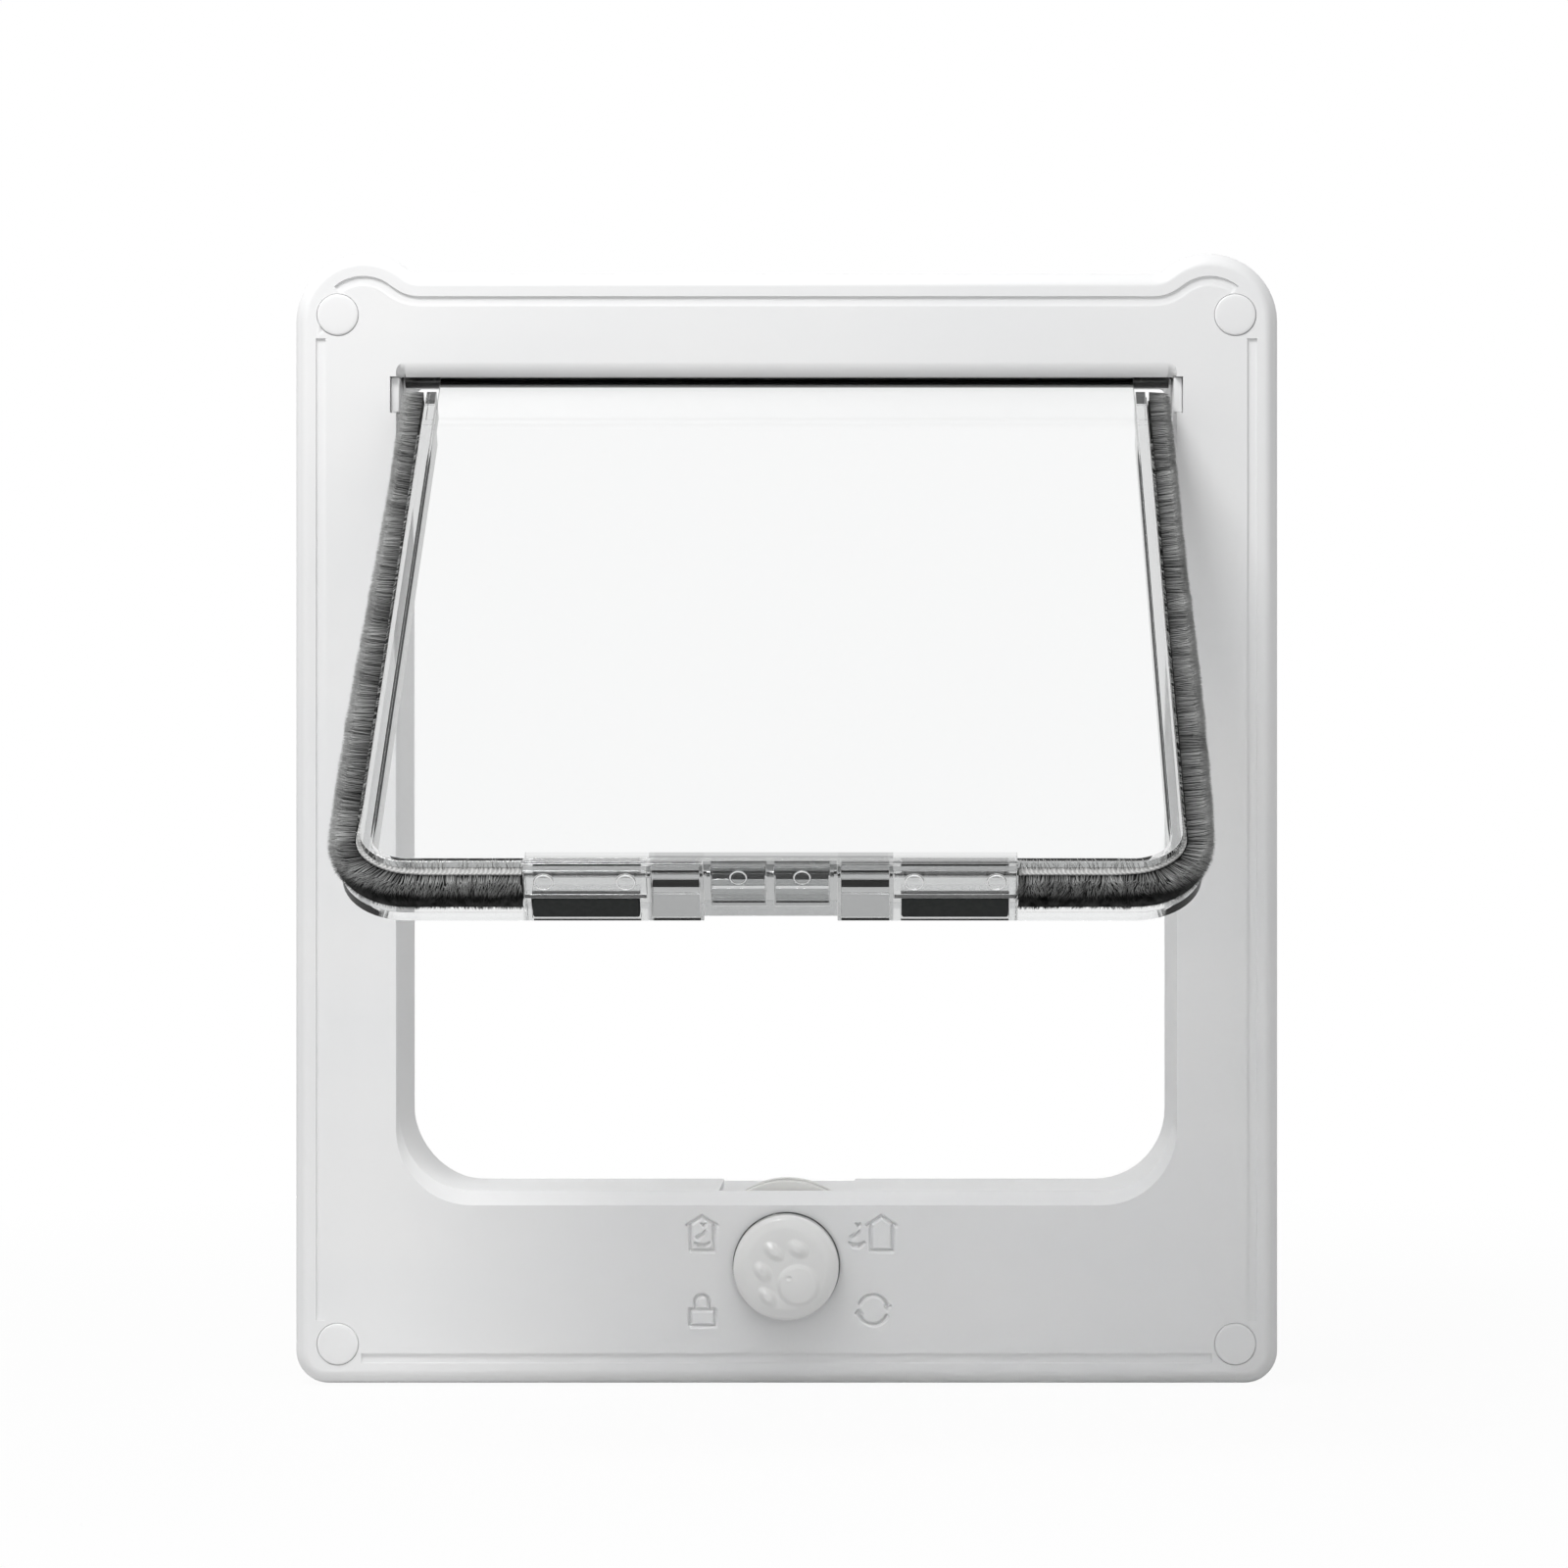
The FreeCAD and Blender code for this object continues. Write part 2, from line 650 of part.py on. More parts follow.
def make_caps():
    """A cap over each screw head: a plug that rests on the head and stands a little proud."""
    length = S["cap_proud"] + S["head_seat"] - S["head_thick"]
    for name, (x, z) in SCREW_PLACES.items():
        cap = doc.addObject("Part::Cylinder", f"screw_cap_{name}")
        cap.Label = f"screw_cap_{name}"
        bind(cap, "Radius", S["cap_radius"])
        bind(cap, "Height", length)
        cap.Placement = FreeCAD.Placement(Vector(0, 0, 0), Rotation(Vector(1, 0, 0), -90))
        place(cap, x, FRONT - S["cap_proud"], z)


def make_screws():
    """Four long screws that draw the frames together: a pan head and a shank each."""
    parts = []
    seat = FRONT + S["head_seat"]
    shank = REAR_DOOR + S["pilot_depth"] - 0.5 - seat
    for name, (x, z) in SCREW_PLACES.items():
        for piece, radius, start, length in (
            ("head", S["head_radius"], seat - S["head_thick"], S["head_thick"]),
            ("shank", S["screw_radius"], seat, shank),
        ):
            rod = doc.addObject("Part::Cylinder", f"screw_{piece}_{name}")
            rod.Placement = FreeCAD.Placement(Vector(0, 0, 0), Rotation(Vector(1, 0, 0), -90))
            bind(rod, "Radius", radius)
            bind(rod, "Height", length)
            place(rod, x, start, z)
            parts.append(rod)
    group = doc.addObject("Part::MultiFuse", "frame_screws")
    group.Label = "frame_screws"
    group.Shapes = parts
    group.Refine = True
    doc.recompute()
    return group


def make_hinge_clips():
    """A clip in each corner recess, which keeps the rod's end from dropping out."""
    for name, side in SIDES.items():
        body = new_body(f"hinge_clip_{name}")
        play = S["clip_play"]
        thick = S["rod_seat"] - play * 2
        inner = (HALF_OPEN + play) * side

        def side_view(sketch):
            box_outline(sketch, FRONT + S["clip_setback"], HINGE_Y + S["rod_radius"],
                        HALF_TALL - S["clip_height"] + play, HALF_TALL - play)

        pad(body, "YZ_Plane", inner, thick, side > 0, side_view)


def make_block(label, x0, y0, z0, wide, deep, tall):
    block = doc.addObject("Part::Box", label)
    block.Label = label
    for prop, size in (("Length", wide), ("Width", deep), ("Height", tall)):
        bind(block, prop, size)
    block.Placement.Base = Vector(0, 0, 0)
    place(block, x0, y0, z0)
    return block


def make_sill_magnets():
    for name, side in SIDES.items():
        x0, x1, low, high = sill_magnet_box(side, ZERO)
        make_block(f"sill_magnet_{name}", x0, SKIN_BACK + S["cradle_play"] * 2, low,
                   S["sill_magnet_width"], S["sill_magnet_deep"], S["sill_magnet_thick"])


def make_flap_panel():
    """The clear flap: barrel, window sheet, rim around it, rear lip and the block at its foot."""
    body = new_body("flap_panel")
    seat = SEAT_HALF
    front, rear = -S["flap_front"], S["flap_rear"]
    thick = S["flap_front"] + S["flap_rear"]
    inner = seat - S["side_wall"]
    block = S["block_width"] / 2
    top = BLOCK_FOOT + S["block_height"]
    nose_top = BLOCK_FOOT + S["block_front_top"]

    def rim(sketch):
        box_outline(sketch, -seat, seat, -SEAT_DROP, -S["rim_start"], S["seat_corner"])

    def shoulders(sketch):
        low, high = -(S["rim_start"] + 1.0), -S["shoulder_start"]
        box_outline(sketch, -seat, -inner, low, high)
        box_outline(sketch, inner, seat, low, high)

    def lip(sketch):
        reach = seat + S["lip_reach"]
        box_outline(sketch, -reach, reach, BLOCK_FOOT, -S["rim_start"],
                    S["seat_corner"] + S["lip_reach"])

    def tray(sketch):
        box_outline(sketch, -inner, inner, -(SEAT_DROP - S["foot_wall"]), ZERO,
                    S["seat_corner"] - S["side_wall"])

    def latch_block(sketch):
        polygon(sketch, [
            (-S["block_front"], BLOCK_FOOT),
            (rear, BLOCK_FOOT),
            (rear, top),
            (S["magnet_front"] - 1.0, top),
            (S["block_roof_front"], nose_top + 1.0),
            (-S["block_nose"], nose_top),
            (-S["block_front"], BLOCK_FOOT + S["block_front_foot"]),
        ])

    def neck(sketch):
        box_outline(sketch, -inner, inner, -(S["rim_start"] + 1.0), ZERO)

    half_window = S["window"] / 2
    pad(body, "XZ_Plane", front, thick, True, rim)
    pad(body, "XZ_Plane", rear, S["lip_thick"], False, lip)
    pocket(body, "XZ_Plane", front, S["flap_front"] - half_window, True, tray)
    pocket(body, "XZ_Plane", rear, S["flap_rear"] - half_window, False, tray)
    pad(body, "YZ_Plane", -block, block * 2, True, latch_block)
    pad(body, "XZ_Plane", -half_window, S["window"], True, neck)
    pad(body, "XZ_Plane", front, S["flap_front"] + S["shoulder_rear"], True, shoulders)
    barrel_half = HALF_OPEN - S["barrel_gap"]
    pad(body, "YZ_Plane", -barrel_half, barrel_half * 2, True,
        lambda s: circle(s, ZERO, ZERO, S["barrel_radius"]))
    pocket(body, "YZ_Plane", -(barrel_half + 1.0), barrel_half * 2 + 2.0, True,
           lambda s: circle(s, ZERO, ZERO, S["rod_radius"] + S["rod_play"]))
    cut_block_pockets(body)
    hang_on_hinge(body)
    return body


def cut_block_pockets(body):
    """Pockets from below for the magnets, covers and latches, and cores that thin the block."""
    play = S["pocket_play"]
    magnet_half = S["magnet_width"] / 2 + play
    cover_half = S["cover_width"] / 2 + play
    latch_half = S["latch_width"] / 2 + S["latch_play"]
    hub_reach = S["hub_radius"] + S["hub_room"]

    def each_side(offset, half, y0, y1):
        def draw(sketch):
            for side in SIDES.values():
                middle = offset * side
                box_outline(sketch, middle - half, middle + half, y0, y1)
        return draw

    relief_half = S["latch_offset"] + latch_half + S["latch_relief_edge"]

    def relief(sketch):
        box_outline(sketch, -relief_half, relief_half,
                    -(S["block_front"] + 1.0), S["flap_rear"] + 1.0)

    def core(y0, y1):
        inner = relief_half + S["core_wall"]
        outer = MAGNET_X - cover_half - S["core_wall"]
        return each_side((inner + outer) / 2, (outer - inner) / 2, y0, y1)

    def pin_holes(sketch):
        circle(sketch, PIN_Y, PIN_Z, S["pin_radius"] + S["pin_play"])

    plate_top = S["latch_relief"] + S["latch_plate"] + S["hub_room"]
    hub_top = S["pin_above"] + hub_reach
    latch_back = S["latch_rear"] + S["latch_play"] * 3
    magnet_back = S["magnet_front"] + S["magnet_thick"] + play
    cuts = (
        (each_side(MAGNET_X, magnet_half, S["magnet_front"] - play, magnet_back),
         S["magnet_height"] + play),
        (each_side(MAGNET_X, cover_half, -(S["cover_front"] + play), S["magnet_front"] - play),
         S["cover_height"] + play),
        (each_side(S["latch_offset"], latch_half, -(S["latch_front"] + S["hub_room"]), latch_back),
         plate_top),
        (each_side(S["latch_offset"], latch_half, PIN_Y - hub_reach, latch_back), hub_top),
        (each_side(S["latch_offset"], latch_half, S["finger_front"], latch_back),
         hub_top + S["latch_lift_room"]),
        (relief, S["latch_relief"]),
        (core(-S["core_front"], S["core_rear"]), S["core_low"]),
        (core(S["core_step"], S["core_rear"]), S["core_high"]),
    )
    for draw, deep in cuts:
        pocket(body, "XY_Plane", BLOCK_FOOT, deep, True, draw)
    reach = S["latch_offset"] + latch_half + S["pin_length"]
    pocket(body, "YZ_Plane", -reach, reach * 2, True, pin_holes)


def make_hinge_rod():
    rod = doc.addObject("Part::Cylinder", "hinge_rod")
    rod.Label = "hinge_rod"
    bind(rod, "Radius", S["rod_radius"])
    bind(rod, "Height", ROD_HALF * 2)
    rod.Placement = FreeCAD.Placement(Vector(0, 0, 0), Rotation(Vector(0, 1, 0), 90))
    place(rod, -ROD_HALF, HINGE_Y, HINGE_Z)
    return rod


def make_pile_strips():
    """Brush seal down each side, round the corner and along the foot up to the latch block."""
    seat = SEAT_HALF
    for name, side in SIDES.items():
        body = new_body(f"pile_strip_{name}")
        end = (S["block_width"] / 2 + S["pile_gap"]) * side
        outer = (seat + S["pile_height"]) * side
        foot = -(SEAT_DROP + S["pile_drop"])
        top = -S["shoulder_start"]

        def band(sketch):
            outline(sketch, [
                (seat * side, top),
                (outer, top),
                (outer, foot, S["seat_corner"] + S["pile_height"]),
                (end, foot),
                (end, -SEAT_DROP),
                (seat * side, -SEAT_DROP, S["seat_corner"]),
            ])

        pad(body, "XZ_Plane", -S["pile_front"], S["pile_width"], True, band)
        faces = (-S["pile_front"], S["pile_width"] - S["pile_front"])
        soften(body, "Chamfer", S["pile_round"], lambda e: is_tip(e, faces, outer, foot))
        hang_on_hinge(body)


def is_tip(edge, faces, outer, foot):
    """Edges along the free tips of the pile, on either face."""
    on_face = any(lies_at(edge, "Y", face) for face in faces)
    on_side = lies_at(edge, "X", outer)
    on_foot = lies_at(edge, "Z", foot)
    box = edge.BoundBox
    on_bend = abs(box.ZMin - foot.number) < 1e-3 and box.XLength > 1e-3 and box.ZLength > 1e-3
    return on_face and (on_side or on_foot or on_bend)


def make_flap_magnets():
    """A magnet and its clear cover at each end of the block, let in from below."""
    for name, side in SIDES.items():
        middle = MAGNET_X * side
        magnet = new_body(f"flap_magnet_{name}")
        half = S["magnet_width"] / 2

        def foot(sketch):
            box_outline(sketch, middle - half, middle + half, S["magnet_front"],
                        S["magnet_front"] + S["magnet_thick"])

        pad(magnet, "XY_Plane", BLOCK_FOOT, S["magnet_height"], True, foot)
        hang_on_hinge(magnet)
        cover = new_body(f"magnet_cover_{name}")
        half_cover = S["cover_width"] / 2

        def plate(sketch):
            box_outline(sketch, middle - half_cover, middle + half_cover,
                        -S["cover_front"], S["magnet_front"] - S["pocket_play"] * 2)

        def studs(sketch):
            for way in SIDES.values():
                circle(sketch, middle + S["stud_offset"] * way, PIN_Y, S["stud_radius"])

        pad(cover, "XY_Plane", BLOCK_FOOT, S["cover_height"], True, plate)
        pad(cover, "XY_Plane", BLOCK_FOOT, S["stud_proud"], False, studs)
        hang_on_hinge(cover)


def make_latches():
    """Two latches on stub pins: a hub, a plate to the rear and a finger that meets the lock."""
    for name, side in SIDES.items():
        body = new_body(f"latch_{name}")
        middle = S["latch_offset"] * side
        low = middle - S["latch_width"] / 2
        finger = BLOCK_FOOT + S["latch_relief"]
        top = finger + S["latch_plate"]
        hub_top = PIN_Z + S["hub_radius"]
        hub_cut = S["hub_radius"] * 0.6

        def side_view(sketch):
            polygon(sketch, [
                (-S["latch_front"], finger),
                (S["finger_front"], finger),
                (S["finger_front"], BLOCK_FOOT),
                (S["finger_front"] + S["finger_thick"], BLOCK_FOOT),
                (S["finger_front"] + S["finger_thick"], finger),
                (S["latch_rear"], finger),
                (S["latch_rear"], top),
                (PIN_Y + S["hub_radius"], top),
                (PIN_Y + S["hub_radius"], hub_top - hub_cut),
                (PIN_Y + S["hub_radius"] - hub_cut, hub_top),
                (PIN_Y - S["hub_radius"] + hub_cut, hub_top),
                (PIN_Y - S["hub_radius"], hub_top - hub_cut),
                (PIN_Y - S["hub_radius"], top),
                (-S["latch_front"], top),
            ])

        pad(body, "YZ_Plane", low, S["latch_width"], True, side_view)
        pad(body, "XY_Plane", finger, S["stud_proud"], False,
            lambda s: circle(s, middle, PIN_Y, S["latch_stud"]))
        reach = S["latch_play"] + S["pin_length"] - S["pin_play"] * 4
        for start, outwards in ((low, False), (low + S["latch_width"], True)):
            pad(body, "YZ_Plane", start, reach, outwards,
                lambda s: circle(s, PIN_Y, PIN_Z, S["pin_radius"]))
        hang_on_hinge(body)


def make_lock_drum():
    """The lock drum: two flanges on a hub, with tabs that stand up in three of four positions."""
    body = new_body("lock_drum")
    front, back = DRUM_FRONT, DRUM_BACK
    wall = S["drum_flange"]
    bore = S["drive_width"] / 2 + S["spindle_play"]
    half_tab = S["tab_width"] / 2

    pad(body, "XZ_Plane", front, S["drum_length"], True,
        lambda s: circle(s, ZERO, ZERO, S["drum_hub"]))
    pad(body, "XZ_Plane", front, wall, True, lambda s: circle(s, ZERO, ZERO, S["drum_radius"]))
    pad(body, "XZ_Plane", back, wall, False, lambda s: circle(s, ZERO, ZERO, S["drum_radius"]))

    def left_tab(sketch):
        box_outline(sketch, -S["tab_radius"], ZERO, -half_tab, half_tab)

    def right_tab(sketch):
        box_outline(sketch, ZERO, S["tab_radius"], -half_tab, half_tab)

    def lower_tab(sketch):
        box_outline(sketch, -half_tab, half_tab, -S["tab_radius"], ZERO)

    for start, forwards, draw in (
        (front, True, left_tab),
        (front, True, right_tab),
        (back, False, left_tab),
        (back, False, lower_tab),
    ):
        pad(body, "XZ_Plane", start, wall, forwards, draw)
    pocket(body, "XZ_Plane", front - 1.0, S["drive_length"] + 1.0, True,
           lambda s: box_outline(s, -bore, bore, -bore, bore))
    pocket(body, "XZ_Plane", back + 1.0, S["drum_length"] + 2.0, False,
           lambda s: circle(s, ZERO, ZERO, S["knob_screw_radius"] + S["spindle_play"]))
    place(body, ZERO, ZERO, LOCK_Z)
    return body


def ellipse(sketch, x, y, long_half, short_half, turn):
    """A toe or palm pad of the paw, turned by an angle in degrees."""
    curve = Part.Ellipse(Vector(0, 0, 0), long_half, short_half)
    curve.rotate(FreeCAD.Placement(Vector(0, 0, 0), Rotation(Vector(0, 0, 1), turn)))
    curve.translate(Vector(x, y, 0))
    sketch.addGeometry(curve)


def make_lock_knob():
    """The turning knob: a domed button with a raised paw, a round spindle and a square drive."""
    body = new_body("lock_knob")
    face = FRONT - S["knob_length"]
    base = FRONT - S["ring_gap"] - S["ring_thick"]
    half = S["drive_width"] / 2
    radius = S["knob_radius"].number
    pads = (
        (0.240, -0.315, 0.405, 0.400, 0.0),
        (-0.225, 0.320, 0.235, 0.140, -41.0),
        (0.225, 0.370, 0.225, 0.155, -35.0),
        (-0.435, -0.055, 0.205, 0.130, -50.0),
        (-0.335, -0.530, 0.200, 0.110, -45.0),
    )

    pad(body, "XZ_Plane", base, base - face, False, lambda s: circle(s, ZERO, ZERO, S["knob_radius"]))
    soften(body, "Chamfer", S["knob_round"], lambda e: lies_at(e, "Y", face))
    for x, z, long_half, short_half, turn in pads:
        pad(body, "XZ_Plane", face, S["pad_proud"], False,
            lambda s: ellipse(s, x * radius, z * radius, long_half * radius, short_half * radius, turn))
    spindle = DRUM_FRONT - S["spindle_play"] - base
    pad(body, "XZ_Plane", base, spindle, True, lambda s: circle(s, ZERO, ZERO, S["spindle_radius"]))
    drive = spindle + S["drive_length"] - S["spindle_play"]
    pad(body, "XZ_Plane", base, drive, True, lambda s: box_outline(s, -half, half, -half, half))
    pocket(body, "XZ_Plane", base + drive, S["knob_screw_reach"], False,
           lambda s: circle(s, ZERO, ZERO, S["knob_screw_radius"] + S["spindle_play"]))
    place(body, ZERO, ZERO, LOCK_Z)
    ring = new_body("knob_ring")

    def annulus(sketch):
        circle(sketch, ZERO, ZERO, S["ring_radius"])
        circle(sketch, ZERO, ZERO, S["spindle_radius"] + S["spindle_play"])

    pad(ring, "XZ_Plane", base, S["ring_thick"], True, annulus)
    place(ring, ZERO, ZERO, LOCK_Z)


def make_knob_screw():
    """The screw that holds the drum on the knob from behind."""
    body = new_body("knob_screw")
    start = DRUM_BACK
    reach = S["drum_length"] - S["drive_length"] + S["knob_screw_reach"] - 1.0
    pad(body, "XZ_Plane", start, S["knob_screw_thick"], True,
        lambda s: circle(s, ZERO, ZERO, S["knob_screw_head"]))
    pad(body, "XZ_Plane", start, reach, False,
        lambda s: circle(s, ZERO, ZERO, S["knob_screw_radius"]))
    place(body, ZERO, ZERO, LOCK_Z)


def write_parts():
    """Checks every object and writes each sub-part to its own file."""
    doc.recompute()
    for thing in doc.Objects:
        if {"Invalid", "Error"} & set(thing.State):
            raise RuntimeError(f"{thing.Label} failed: {thing.State}")
    os.makedirs("parts", exist_ok=True)
    used = {child for thing in doc.Objects if thing.TypeId == "Part::MultiFuse" for child in thing.Shapes}
    kinds = ("PartDesign::Body", "Part::Box", "Part::Cylinder", "Part::MultiFuse")
    pieces = [thing for thing in doc.Objects if thing.TypeId in kinds and thing not in used]
    for piece in pieces:
        if piece.Shape.isNull() or not piece.Shape.isValid():
            raise RuntimeError(f"{piece.Label} has no valid shape")
    for piece in pieces:
        piece.Shape.exportStep(f"parts/{piece.Label}.step")
        print(f"{piece.Label}: {len(piece.Shape.Solids)} solid(s), {piece.Shape.Volume:.0f} mm3")


make_front_frame()
make_rear_frame()
make_caps()
make_screws()
make_hinge_clips()
make_sill_magnets()
make_flap_panel()
make_hinge_rod()
make_pile_strips()
make_flap_magnets()
make_latches()
make_lock_drum()
make_lock_knob()
make_knob_screw()
write_parts()
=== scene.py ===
import json
import math

import bmesh
import bpy
import numpy as np
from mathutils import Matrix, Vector


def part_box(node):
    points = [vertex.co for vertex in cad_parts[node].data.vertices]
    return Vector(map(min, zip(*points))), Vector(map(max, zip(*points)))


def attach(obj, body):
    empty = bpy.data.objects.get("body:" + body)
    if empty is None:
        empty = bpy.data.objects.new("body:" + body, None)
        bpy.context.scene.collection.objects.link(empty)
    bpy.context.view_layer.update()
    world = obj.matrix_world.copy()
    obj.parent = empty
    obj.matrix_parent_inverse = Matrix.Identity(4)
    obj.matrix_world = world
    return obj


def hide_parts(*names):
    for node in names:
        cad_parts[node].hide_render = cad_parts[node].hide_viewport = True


MM = 0.001
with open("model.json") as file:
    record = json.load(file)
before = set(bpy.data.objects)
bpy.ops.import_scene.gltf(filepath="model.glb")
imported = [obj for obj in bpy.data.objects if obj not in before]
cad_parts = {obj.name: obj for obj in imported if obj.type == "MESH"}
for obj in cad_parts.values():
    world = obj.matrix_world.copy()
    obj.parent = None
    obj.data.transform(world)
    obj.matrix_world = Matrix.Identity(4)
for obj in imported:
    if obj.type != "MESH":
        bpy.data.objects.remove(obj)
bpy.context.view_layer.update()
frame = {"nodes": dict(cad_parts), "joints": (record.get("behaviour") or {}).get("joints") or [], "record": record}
NODES = frame["nodes"]
JOINTS = {joint["name"]: joint for joint in frame["joints"]}

# the flap hangs on this axis; rest has it raised towards the viewer
HINGE = Vector(JOINTS["flap_swing"]["pos_m"])
RAISE = math.radians(51.5)
KNOB = Vector(JOINTS["lock_turn"]["pos_m"])
FACE_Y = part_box("front_frame")[0].y

# camera: focal length in pixels and place, worked out from the photograph's vanishing point
FRAME_PIXELS = 1600
FOCAL_PIXELS = 4360
SENSOR_MM = 36.0
CAMERA_X = 0.0255
CAMERA_DISTANCE = 1.090
PIXEL_MM = 0.25
CENTRE_PIXEL_X = 802.5


def raised(points):
    """Turns points drawn about the hinge with the flap hanging shut (x, y, z in metres) to the raised rest
    pose: a turn by the raise angle about the X axis, then a move to the hinge."""
    points = np.asarray(points, float)
    c, s = math.cos(RAISE), -math.sin(RAISE)
    y = points[..., 1] * c - points[..., 2] * s
    z = points[..., 1] * s + points[..., 2] * c
    return np.stack([points[..., 0], y, z], -1) + np.array(HINGE)


def new_object(name, points, faces, material, smooth=True):
    mesh = bpy.data.meshes.new(name)
    mesh.from_pydata([tuple(p) for p in points], [], [tuple(f) for f in faces])
    mesh.materials.append(material)
    mesh.polygons.foreach_set("use_smooth", [smooth] * len(mesh.polygons))
    mesh.update()
    piece = bpy.data.objects.new(name, mesh)
    bpy.context.scene.collection.objects.link(piece)
    return piece


def grid_faces(rows, columns, wrap_columns=False, wrap_rows=False):
    """Quads of a rows by columns grid of points, closed on itself where asked."""
    r = np.arange(rows if wrap_rows else rows - 1)[:, None]
    c = np.arange(columns if wrap_columns else columns - 1)[None, :]
    r2, c2 = (r + 1) % rows, (c + 1) % columns
    quads = [r * columns + c, r * columns + c2, r2 * columns + c2, r2 * columns + c]
    return np.stack(np.broadcast_arrays(*quads), -1).reshape(-1, 4)


def effect_group(name, inputs, outputs, build):
    """A shader node group with named float or vector inputs and outputs, filled in by the build function."""
    tree = bpy.data.node_groups.new(name, "ShaderNodeTree")
    kinds = {"float": "NodeSocketFloat", "vector": "NodeSocketVector"}
    for title, kind in inputs:
        tree.interface.new_socket(title, in_out="INPUT", socket_type=kinds[kind])
    for title, kind in outputs:
        tree.interface.new_socket(title, in_out="OUTPUT", socket_type=kinds[kind])
    build(tree, tree.nodes.new("NodeGroupInput"), tree.nodes.new("NodeGroupOutput"))
    return tree


def build_grain(tree, given, out):
    """Height of a moulding's spark-eroded grain: a fine noise over a coarser one."""
    mix = tree.nodes.new("ShaderNodeMath")
    mix.operation = "MULTIPLY_ADD"
    mix.inputs[1].default_value = 0.6
    for kind, ratio, socket in (("fine", 1.0, 0), ("coarse", 0.35, 2)):
        size = tree.nodes.new("ShaderNodeMath")
        size.operation = "MULTIPLY"
        size.inputs[1].default_value = ratio
        noise = tree.nodes.new("ShaderNodeTexNoise")
        noise.inputs["Detail"].default_value = 2.0
        tree.links.new(given.outputs["Scale"], size.inputs[0])
        tree.links.new(size.outputs[0], noise.inputs["Scale"])
        tree.links.new(given.outputs["Vector"], noise.inputs["Vector"])
        tree.links.new(noise.outputs["Fac"], mix.inputs[socket])
    tree.links.new(mix.outputs[0], out.inputs["Height"])


def build_mottle(tree, given, out):
    """Slow uneven patches, 0 to 1: flow marks in a moulding, or a film left by handling."""
    noise = tree.nodes.new("ShaderNodeTexNoise")
    noise.inputs["Detail"].default_value = 3.0
    spread = tree.nodes.new("ShaderNodeMapRange")
    spread.inputs["From Min"].default_value = 0.3
    spread.inputs["From Max"].default_value = 0.7
    tree.links.new(given.outputs["Vector"], noise.inputs["Vector"])
    tree.links.new(given.outputs["Scale"], noise.inputs["Scale"])
    tree.links.new(noise.outputs["Fac"], spread.inputs["Value"])
    tree.links.new(spread.outputs["Result"], out.inputs["Mask"])


PATTERN_INPUTS = [("Vector", "vector"), ("Scale", "float")]
GRAIN = effect_group("moulding_grain", PATTERN_INPUTS, [("Height", "float")], build_grain)
MOTTLE = effect_group("slow_mottle", PATTERN_INPUTS, [("Mask", "float")], build_mottle)


class Shader:
    """A material's node tree with short ways to add and join nodes."""

    def __init__(self, name):
        self.material = bpy.data.materials.new(name)
        self.material.use_nodes = True
        self.tree = self.material.node_tree
        self.nodes = self.tree.nodes
        self.skin = self.nodes["Principled BSDF"]

    def add(self, kind, **settings):
        node = self.nodes.new(kind)
        for key, value in settings.items():
            setattr(node, key, value)
        return node

    def join(self, output, socket):
        self.tree.links.new(output, socket)

    def set(self, **values):
        names = {
            "color": "Base Color", "rough": "Roughness", "metal": "Metallic", "ior": "IOR",
            "transmission": "Transmission Weight", "sheen": "Sheen Weight", "specular": "Specular IOR Level",
        }
        for key, value in values.items():
            socket = self.skin.inputs[names[key]]
            socket.default_value = (*value, 1.0) if key == "color" else value

    def place(self, scale=(1, 1, 1), turn=(0, 0, 0), move=(0, 0, 0)):
        """Object coordinates, moved, turned and scaled."""
        where = self.add("ShaderNodeTexCoord")
        mapping = self.add("ShaderNodeMapping")
        mapping.inputs["Location"].default_value = move
        mapping.inputs["Rotation"].default_value = turn
        mapping.inputs["Scale"].default_value = scale
        self.join(where.outputs["Object"], mapping.inputs["Vector"])
        return mapping.outputs["Vector"]

    def noise(self, where, scale, detail=3.0, rough=0.55):
        node = self.add("ShaderNodeTexNoise")
        node.inputs["Scale"].default_value = scale
        node.inputs["Detail"].default_value = detail
        node.inputs["Roughness"].default_value = rough
        self.join(where, node.inputs["Vector"])
        return node.outputs["Fac"]

    def effect(self, group, where, scale):
        """One of the shared effects, placed with its own scale."""
        node = self.add("ShaderNodeGroup")
        node.node_tree = group
        node.inputs["Scale"].default_value = scale
        self.join(where, node.inputs["Vector"])
        return node.outputs[0]

    def ramp(self, value, low, high, out_low=0.0, out_high=1.0):
        node = self.add("ShaderNodeMapRange")
        node.inputs["From Min"].default_value = low
        node.inputs["From Max"].default_value = high
        node.inputs["To Min"].default_value = out_low
        node.inputs["To Max"].default_value = out_high
        self.join(value, node.inputs["Value"])
        return node.outputs["Result"]

    def reckon(self, operation, *values):
        """A math node whose values are numbers or other nodes' outputs."""
        node = self.add("ShaderNodeMath", operation=operation)
        for socket, value in zip(node.inputs, values):
            if isinstance(value, (int, float)):
                socket.default_value = value
            else:
                self.join(value, socket)
        return node.outputs[0]

    def tint(self, factor, first, second):
        node = self.add("ShaderNodeMix", data_type="RGBA")
        node.inputs["A"].default_value = (*first, 1.0)
        node.inputs["B"].default_value = (*second, 1.0)
        self.join(factor, node.inputs["Factor"])
        return node.outputs["Result"]

    def bump(self, height, distance, strength=1.0):
        node = self.add("ShaderNodeBump")
        node.inputs["Distance"].default_value = distance
        node.inputs["Strength"].default_value = strength
        self.join(height, node.inputs["Height"])
        self.join(node.outputs["Normal"], self.skin.inputs["Normal"])


